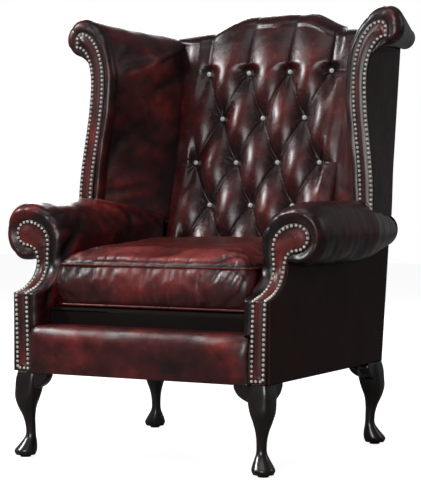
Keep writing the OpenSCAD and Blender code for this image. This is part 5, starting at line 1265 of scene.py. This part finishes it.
def front_border():
    """A bulge that is fullest at two thirds of its height, turned over at the top and tucked
    under the rail. It sinks at its ends, where the facings pull it in."""
    wide = nail_row_x(BODY_Z, False) - NAIL_MARGIN - 0.2
    x = wide * np.linspace(-1, 1, 190)[:, None]
    s = np.linspace(0, 1, 64)
    turn = np.pi / 2 * unit((s - 0.5) / 0.5)
    below = unit(1 - s / 0.5)
    bulge = ROLL_D * (1 - np.cos(turn)) - (BORDER_BULGE + 1) + 7 * below ** 2.4
    h = BORDER_TOP_Z - ROLL_H * (1 - np.sin(turn)) - (BORDER_TOP_Z - ROLL_H - BODY_Z + 2.5) * below
    over, tuck = np.linspace(0, 1, 16)[1:], np.linspace(1, 0, 8)[:-1]
    y = np.concatenate([lerp(bulge[0], 26, tuck ** 1.2), bulge, lerp(bulge[-1], 47, over)])
    z = np.concatenate([BODY_Z - 2.5 + 0.8 * tuck, h, BORDER_TOP_Z + 0.5 * over])
    ends = 1 - np.exp(-(wide - np.abs(x)) / 9)
    face = np.concatenate([np.zeros_like(tuck), np.sin(np.pi * s) ** 0.4, 0.6 * (1 - over)])
    drop = np.concatenate([np.zeros_like(tuck), ease((s - 0.7) / 0.3), np.ones_like(over)])
    p = spread(x, y + 9 * face * (1 - ends), z - 5 * drop * (1 - ends))
    relief = 1.7 * softly(p, 85, 81) + 0.5 * softly(p, 26, 83) + creases(p[..., 0], p[..., 2], BORDER_FOLDS)
    p = p + normals(p, np.array([0, -1, 0.2])) * (relief * face * ends)[..., None]
    # Painted highlight: a lighter band runs along the border a little below its top edge.
    rub_and_shade = 0.60 + 0.07 * relief + 0.12 * np.exp(-((p[..., 2] - 285) / 16) ** 2) - 0.25 * (1 - ends)
    piece = surface("front_border_cover", p, pad_leather, (0, 60, 255), rub_and_shade=rub_and_shade)
    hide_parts("front_border")


front_border()
corner = np.linspace(0, np.pi / 2, 8)
y = np.concatenate([np.full(14, DECK_FRONT_Y), DECK_FRONT_Y + 6 - 6 * np.cos(corner),
                    np.linspace(52, INSIDE_REAR_Y + 4, 110)[1:]])
z = np.concatenate([np.linspace(BORDER_TOP_Z - 2, DECK_Z - 5.5, 14), DECK_Z - 6 + 6 * np.sin(corner),
                    np.full(109, DECK_Z)])
deck = spread(np.linspace(-1, 1, 120)[:, None] * (inside_x(y) - 1.5), y, z)
deck[..., 1] -= 1.2 * (z < DECK_Z - 6) * softly(deck, 70, 91)
# Painted shade: the deck and its riser get the near-black deck hide.
deck_cover = surface("seat_deck_cover", deck, deck_shade_leather, (0, 300, 320))
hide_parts("seat_deck")
print("border and deck done")

# %% [markdown]
# ## Outside panels
#
# The outside is blind-tacked over hessian and a thin wadding, so it is nearly flat. The arm's
# panel ends under the roll, the wing's runs from its facing to the rear corner, and the back's
# fills the whole rear. Their hide is coloured much darker than the rest, a painted shade of the
# chair's outside.

# %% Outside covers
EDGE_R, REAR_CORNER_Y = 3.0, 700


def billow(p, outward_to, amount, seed):
    """Lifts a flat cover a little at its middle and puckers it slightly."""
    rows, cols = p.shape[:2]
    full = np.sin(np.pi * np.linspace(0, 1, rows))[:, None] * np.sin(np.pi * np.linspace(0, 1, cols))
    lift = amount * full ** 0.5 + 0.7 * softly(p, 110, seed) * full ** 0.3
    return p + normals(p, outward_to) * lift[..., None]


def outside_cover(kind, p, side):
    """An outside panel of one side, in the place of its plain solid."""
    # Painted shade: each outside panel gets the darkened outside hide.
    piece = surface(f"outside_{kind}_cover_{SIDES[side]}", p, outside_shade_leather,
                    looking=(1, 0, 0), side=side)
    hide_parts(f"outside_{kind}_{SIDES[side]}")


def outside_arm(side):
    """From the facing to the rear corner, and from the rail's lower edge up under the roll. It
    is wrapped round the front edge, behind the facing."""
    w, s = np.linspace(0, 1, 70)[:, None], np.linspace(0, 1, 110)
    z = lerp(BODY_Z, 500.0, w)
    for _ in range(6):
        y = lerp(front_y(z) + FACING_T + 0.4, back_y(z), s)
        under = np.clip(arm_r(y) ** 2 - (panel_x(y) - 2 - arm_x(y)) ** 2, 0, None)
        z = lerp(BODY_Z, ARM_Z - np.sqrt(under) - 0.5, w)
    p = billow(spread(panel_x(y), y, z), [1, 0, 0], 2.2, 101)
    a = np.radians(np.linspace(90, 0, 7))[:-1]
    x0, y0, z0 = p[:, :1, 0], p[:, :1, 1], p[:, :1, 2]
    facing_x = np.minimum(nail_row_x(z0, True) + NAIL_MARGIN - 5, x0 - 5)
    in_x = np.concatenate([facing_x, x0 - EDGE_R + EDGE_R * np.cos(a)], 1)
    in_y = np.concatenate([y0, y0 + EDGE_R * (1 - np.sin(a))], 1)
    p[:, 0, 1] += EDGE_R
    outside_cover("arm", np.concatenate([spread(in_x, in_y, z0), p], 1), side)


def outside_wing(side):
    """Ruled from the wing's front edge to the rear corner, standing on the arm."""
    w, s = np.linspace(0, 1, 90)[:, None], np.linspace(0, 1, 60)
    front_z = lerp(FOOT_Z, COVE_Z + 0.97 * COVE_R, w)
    rear_z = lerp(FOOT_Z, WING_REAR_Z - WING_REAR_R * 0.9, w)
    x = lerp(wing_outer_x(front_z), panel_x(back_y(rear_z)), s)
    y = lerp(wing_y(front_z) + FACING_T + 0.4, back_y(rear_z), s)
    foot = arm_surface(x, np.minimum(y, ARM_END_Y)) - 1.5
    z = lerp(lerp(front_z, rear_z, s), foot, 1 - ease(w / 0.22))
    outside_cover("wing", billow(spread(x, y, z), [1, 0, 0], 2.0, 103), side)


def roll_end(name, x, z, radius, side):
    """A disc that closes the rear end of a roll: its dome falls off with the square of the
    distance from its middle."""
    r = np.linspace(1, 0, 14)[:, None]
    a = np.linspace(0, 2 * np.pi, 56, endpoint=False)
    h = z + radius * r * np.sin(a)
    p = spread(x + radius * r * np.cos(a), back_y(h) - 3.2 + 1.5 * (1 - r ** 2), h)
    # Painted shade: the roll ends get the darkened outside hide.
    surface(f"{name}_{SIDES[side]}", p, outside_shade_leather, looking=(0, 1, 0), side=side,
            thickness=0, loop_cols=True)


for side in SIDES:
    outside_arm(side)
    outside_wing(side)
    roll_end("arm_end_cover", ARM_REAR_X, ARM_Z, ARM_REAR_R + 2, side)
    roll_end("wing_end_cover", WING_REAR_X, WING_REAR_Z, WING_REAR_R + 1, side)
x = np.linspace(-1, 1, 130) * (panel_x(REAR_CORNER_Y) - 0.8)
z = lerp(BODY_Z, crest(x) - CREST_ROLL - 0.6, np.linspace(0, 1, 150)[:, None])
rear = billow(spread(x, back_y(z), z), [0, 1, 0], 2.5, 105)
# Painted shade: the outside back gets the darkened outside hide.
rear_cover = surface("outside_back_cover", rear, outside_shade_leather, looking=(0, 1, 0))
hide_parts("outside_back")
print("outside panels done")

# %% [markdown]
# ## Legs
#
# The legs are cabrioles of mahogany, stained almost black: a square knee that rounds into a
# thin ankle and a pad foot. A glued ear each side of the knee carries the curve along the
# rails. The leg is a stack of superellipses, whose exponent falls from square to round.

# %% Leg lofts
LEG_X, LEG_REAR_Y, FOOT_D, ANKLE_D, ANKLE_IN, KNEE_D = 326, 621, 52, 23, 38, 66
EAR_REACH, GLIDE_T, LEG_TOP = 84, 5, BODY_Z - 0.4
LEG_TABLE = np.array([
    [0.000, 0.87 * FOOT_D, 0.50 * FOOT_D, 2.0], [0.045, FOOT_D, 0.50 * FOOT_D, 2.0],
    [0.097, 0.88 * FOOT_D, 0.58 * FOOT_D, 2.0], [0.150, 0.70 * FOOT_D, 0.66 * FOOT_D, 2.0],
    [0.220, 1.09 * ANKLE_D, ANKLE_IN, 2.0], [0.325, ANKLE_D, ANKLE_IN, 2.0],
    [0.465, 1.30 * ANKLE_D, 0.90 * ANKLE_IN, 2.1], [0.575, 0.66 * KNEE_D, 0.46 * KNEE_D, 2.4],
    [0.685, 0.88 * KNEE_D, 0.47 * KNEE_D, 3.0], [0.790, 0.97 * KNEE_D, 0.52 * KNEE_D, 4.0],
    [0.920, 0.98 * KNEE_D, 0.56 * KNEE_D, 5.0], [1.000, 0.93 * KNEE_D, 0.60 * KNEE_D, 5.0]])


def smooth_through(xs, ys, x):
    """A cubic through given points, whose slope at each is that of its neighbours."""
    slope = np.gradient(ys, xs)
    i = np.clip(np.searchsorted(xs, x) - 1, 0, len(xs) - 2)
    h = xs[i + 1] - xs[i]
    t = (x - xs[i]) / h
    return ((1 + 2 * t) * (1 - t) ** 2 * ys[i] + t * (1 - t) ** 2 * h * slope[i]
            + t ** 2 * (3 - 2 * t) * ys[i + 1] + t ** 2 * (t - 1) * h * slope[i + 1])


def closed_loft(name, rings, material, side=RIGHT):
    """A solid through a stack of rings, with a flat face at each end."""
    rows, cols = rings.shape[:2]
    points = in_frame(rings, side).reshape(-1, 3)
    centre = in_frame(rings.mean(1), side)
    quads = grid_faces(rows, cols, loop_cols=True)
    middle = np.repeat((centre[:-1] + centre[1:]) / 2, cols, axis=0)
    quads = turned_out(points, quads, points[quads].mean(1) - middle)

    def cap(row, away):
        """One end's face: the sum of its corners' cross products has to look along away."""
        corners = np.arange(row * cols, (row + 1) * cols)
        area = np.cross(points[corners], points[np.roll(corners, -1)]).sum(0)
        return (corners if area @ away > 0 else corners[::-1]).tolist()

    caps = [cap(0, centre[0] - centre[1]), cap(rows - 1, centre[-1] - centre[-2])]
    mesh = bpy.data.meshes.new(name)
    mesh.from_pydata(points.tolist(), [], quads.tolist() + caps)
    return finish_mesh(name, mesh, material)


def corner_place(p, rear):
    """From a leg's corner, with both axes running inwards, to the chair's right side."""
    x, y, z = np.moveaxis(p, -1, 0)
    return spread(LEG_X - x, LEG_REAR_Y - y if rear else y, z)


def half_width(wide, power):
    """Half the side of a superellipse that is so wide along its diagonal."""
    return wide / 2 / 2 ** (0.5 - 1 / power)


def leg_ring(height, wide, inset, power, count=48):
    """One ring of the leg: a superellipse square to the rails, its middle on the diagonal."""
    a = np.linspace(0, 2 * np.pi, count, endpoint=False)
    ring = [np.sign(c) * np.abs(c) ** (2 / power) * half_width(wide, power) + inset / 2 ** 0.5
            for c in (np.cos(a), np.sin(a))]
    return spread(*ring, lerp(GLIDE_T, LEG_TOP, height))


shares = np.concatenate([np.linspace(0, 0.16, 24), np.linspace(0.16, 1, 60)[1:]])
wide, inset, power = (smooth_through(LEG_TABLE[:, 0], LEG_TABLE[:, k], shares) for k in (1, 2, 3))
leg_rings = np.array([leg_ring(*row) for row in zip(shares, wide, inset, np.clip(power, 2, 5))])
for side in SIDES:
    for rear in (False, True):
        name = f"leg_{'rear' if rear else 'front'}_{SIDES[side]}"
        leg = closed_loft(name + "_turned", corner_place(leg_rings, rear), mahogany, side)
        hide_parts(name)
print("legs are lofts of", leg_rings.shape[0], "rings of", leg_rings.shape[1])

# %% Ears
EAR_ROW, EAR_TIP_DROP, EAR_FACE_Y, EAR_BACK_Y, EAR_TAIL = 9, 14, 5.0, 33.0, 16


def ear_rings():
    """A knee block: sections along the rail, each running down its face, round the lower edge,
    under and back. The lower edge follows an ogee from the knee to the tip."""
    height, wide, inset, power = LEG_TABLE[EAR_ROW]
    low = np.array([inset / 2 ** 0.5 + half_width(wide, power), lerp(GLIDE_T, LEG_TOP, height)])
    tip = np.array([EAR_REACH, LEG_TOP - EAR_TIP_DROP])
    bend = np.array([0.94 * EAR_REACH, lerp(low[1], tip[1], 0.45)])
    t = np.linspace(0, 1, 34)[:, None]
    curve = ((1 - t) ** 3 * low + 3 * t * (1 - t) ** 2 * lerp(low, bend, 0.6) + 3 * t * t * (1 - t) * bend
             + t ** 3 * tip)
    tail = np.linspace(0, 1, 8)[:-1]
    tail = spread(low[0] - EAR_TAIL * (1 - tail), low[1] - 2 + 2 * ease(tail))
    x, z = np.hsplit(np.vstack([tail, curve]), 2)
    r = np.clip((LEG_TOP - z) * 0.45, 3, 8)
    a = np.radians(np.linspace(0, 90, 10))
    face = spread(x, EAR_FACE_Y, lerp(LEG_TOP, z + r, np.linspace(0, 1, 9)[:-1]))
    edge = spread(x, EAR_FACE_Y + r * (1 - np.cos(a)), z + r - r * np.sin(a))
    under = spread(x, np.array([EAR_BACK_Y - 4, EAR_BACK_Y]), z + np.array([0, 4]))
    return np.concatenate([face, edge, under, spread(x, EAR_BACK_Y, LEG_TOP)], 1)


ear = ear_rings()
for side in SIDES:
    for rear in (False, True):
        for rings, along_what in ((ear, "rail"), (ear[..., [1, 0, 2]], "side")):
            name = f"ear_{'rear' if rear else 'front'}_{SIDES[side]}_{along_what}"
            closed_loft(name, corner_place(rings, rear), mahogany, side)
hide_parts("knee_blocks")

# %% [markdown]
# ## Dust cover
#
# A black cotton cloth closes the bottom. It is cut once, with a notch at each leg, folded under
# and stapled to the rails, so it is stretched flat.

# %% Dust cover
NOTCH_X, HALF_X, Y0, Y1, Y2, Y3 = 238.0, 306.3, 28.7, 92.0, 529.0, 590.9
xs = np.unique(np.concatenate([np.linspace(-HALF_X, HALF_X, 60), [-NOTCH_X, NOTCH_X]]))
ys = np.unique(np.concatenate([np.linspace(Y0, Y3, 56), [Y1, Y2]]))
lying = spread(xs[:, None], ys, BODY_Z + 0.9)
lying[..., 2] += 0.25 * softly(lying * [1, 1, 0], 90, 111)
lying = lying.reshape(-1, 3)
quads = grid_faces(len(xs), len(ys))
x, y = lying[quads].mean(1)[:, :2].T
used, quads = np.unique(quads[(np.abs(x) < NOTCH_X) | ((y > Y1) & (y < Y2))], return_inverse=True)
points = in_frame(lying[used])
quads = turned_out(points, quads.reshape(-1, 4), [0, 0, -1])
dust = finish_mesh("dust_cover_cloth", raw_mesh("dust_cover_cloth", points, quads), black_cloth)
fold = dust.modifiers.new("cloth thickness", "SOLIDIFY")
fold.thickness, fold.offset = 0.0008, 0
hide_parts("dust_cover")

# %% [markdown]
# ## The frame's own finishes
#
# The timber, springs, clips, webbing, bolts, glides and zip are shown as the CAD model has them,
# so they only need finishes.

# %% Finishes of the CAD nodes
FINISH = {"rail": beech, "post": beech, "slat": beech, "block": beech, "spring": spring_steel,
          "clip": spring_steel, "bolt": spring_steel, "webbing": jute, "glide": glide_felt,
          "zip_pull": old_brass, "cushion_zip": tape_cloth}
for name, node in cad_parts.items():
    finish = [FINISH[key] for key in FINISH if key in name]
    if finish and name != "knee_blocks":
        for place in node.material_slots:
            place.material = finish[-1]
print("CAD nodes with a finish:", sum(any(k in n for k in FINISH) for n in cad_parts))

# %% [markdown]
# ## Set, light and camera
#
# The chair stands on a white sweep, as in a catalogue. A soft light from the left and a weaker
# one from the front give the hide its long pale reflections and leave the right side dark. One
# behind the chair and two faint ones open up the shadows. The camera looks down a long lens from
# the front right.

# %% Stage
def sees(tree, ray, others, this):
    """A shader that one kind of ray sees, while the others see another."""
    rays = add(tree, "LightPath")
    return add(tree, "MixShader", {0: rays.outputs[ray], 1: others.outputs[0], 2: this.outputs[0]})


paper, tree = new_material("white paper sweep")
bright, dim = (add(tree, "BsdfPrincipled", {"Base Color": hex_colour(tone), "Roughness": 0.95})
               for tone in ("#b9b8b7", "#6d6c6b"))
glow = add(tree, "Emission", {"Color": hex_colour("#ffffff"), "Strength": 0.86})
lit = add(tree, "AddShader", {0: bright.outputs[0], 1: glow.outputs[0]})
show(tree, sees(tree, "Is Camera Ray", sees(tree, "Is Glossy Ray", bright, dim), lit))
floor_mesh = bpy.data.meshes.new("floor")
floor_mesh.from_pydata([(-9, -9, 0), (9, -9, 0), (9, 9, 0), (-9, 9, 0)], [], [(0, 1, 2, 3)])
floor_mesh.materials.append(paper)
link("floor", floor_mesh)

world = bpy.data.worlds.new("white room")
bpy.context.scene.world = world
world.use_nodes = True
tree = world.node_tree
tree.nodes.clear()
seen = add(tree, "Background", {"Color": hex_colour("#ffffff"), "Strength": 1.0})
light = add(tree, "Background", {"Color": hex_colour("#f3f4f6"), "Strength": 0.17})
show(tree, sees(tree, "Is Camera Ray", light, seen), "OutputWorld")


def soft_box(name, place, target, size, watts):
    """A square area light aimed at a point."""
    lamp = bpy.data.lights.new(name, "AREA")
    lamp.shape, lamp.size, lamp.size_y, lamp.energy = "RECTANGLE", size[0], size[1], watts
    held = link(name, lamp)
    held.location = place
    x, y, z = np.subtract(target, place)
    held.rotation_euler = (np.arctan2(np.hypot(x, y), -z), 0, np.arctan2(y, x) - np.pi / 2)


soft_box("key", (-3.0, -1.8, 3.0), (0, 0, 0.6), (0.8, 0.8), 125)
soft_box("front", (1.0, -4.1, 1.7), (0, 0, 0.5), (1.6, 1.6), 90)
soft_box("rim", (2.6, 1.6, 2.0), (0, 0, 0.8), (0.5, 1.2), 5)
soft_box("behind", (-2.4, 3.8, 2.2), (0, 0, 0.5), (1.8, 1.8), 85)
soft_box("top", (0.2, -0.9, 3.2), (0, 0, 0.6), (1.8, 1.8), 16)

# %% Camera
scene = bpy.context.scene
scene.view_settings.view_transform = "Standard"
lens = bpy.data.cameras.new("camera")
lens.sensor_fit, lens.sensor_width, lens.lens = "HORIZONTAL", 36, 162.04
lens.shift_x, lens.shift_y = 0.01995, -0.00998
camera = link("camera", lens)
target = np.array([0, -0.0654, 0.5])
azimuth, elevation, distance = np.radians(29.19), np.radians(1.86), 4.441
level = distance * np.cos(elevation)
away = [level * np.sin(azimuth), -level * np.cos(azimuth), distance * np.sin(elevation)]
camera.location = target + away
camera.rotation_euler = (np.pi / 2 - elevation, 0, azimuth)
scene.camera = camera
print("camera at", [round(float(v), 3) for v in camera.location])

# %% The end
bpy.context.view_layer.update()
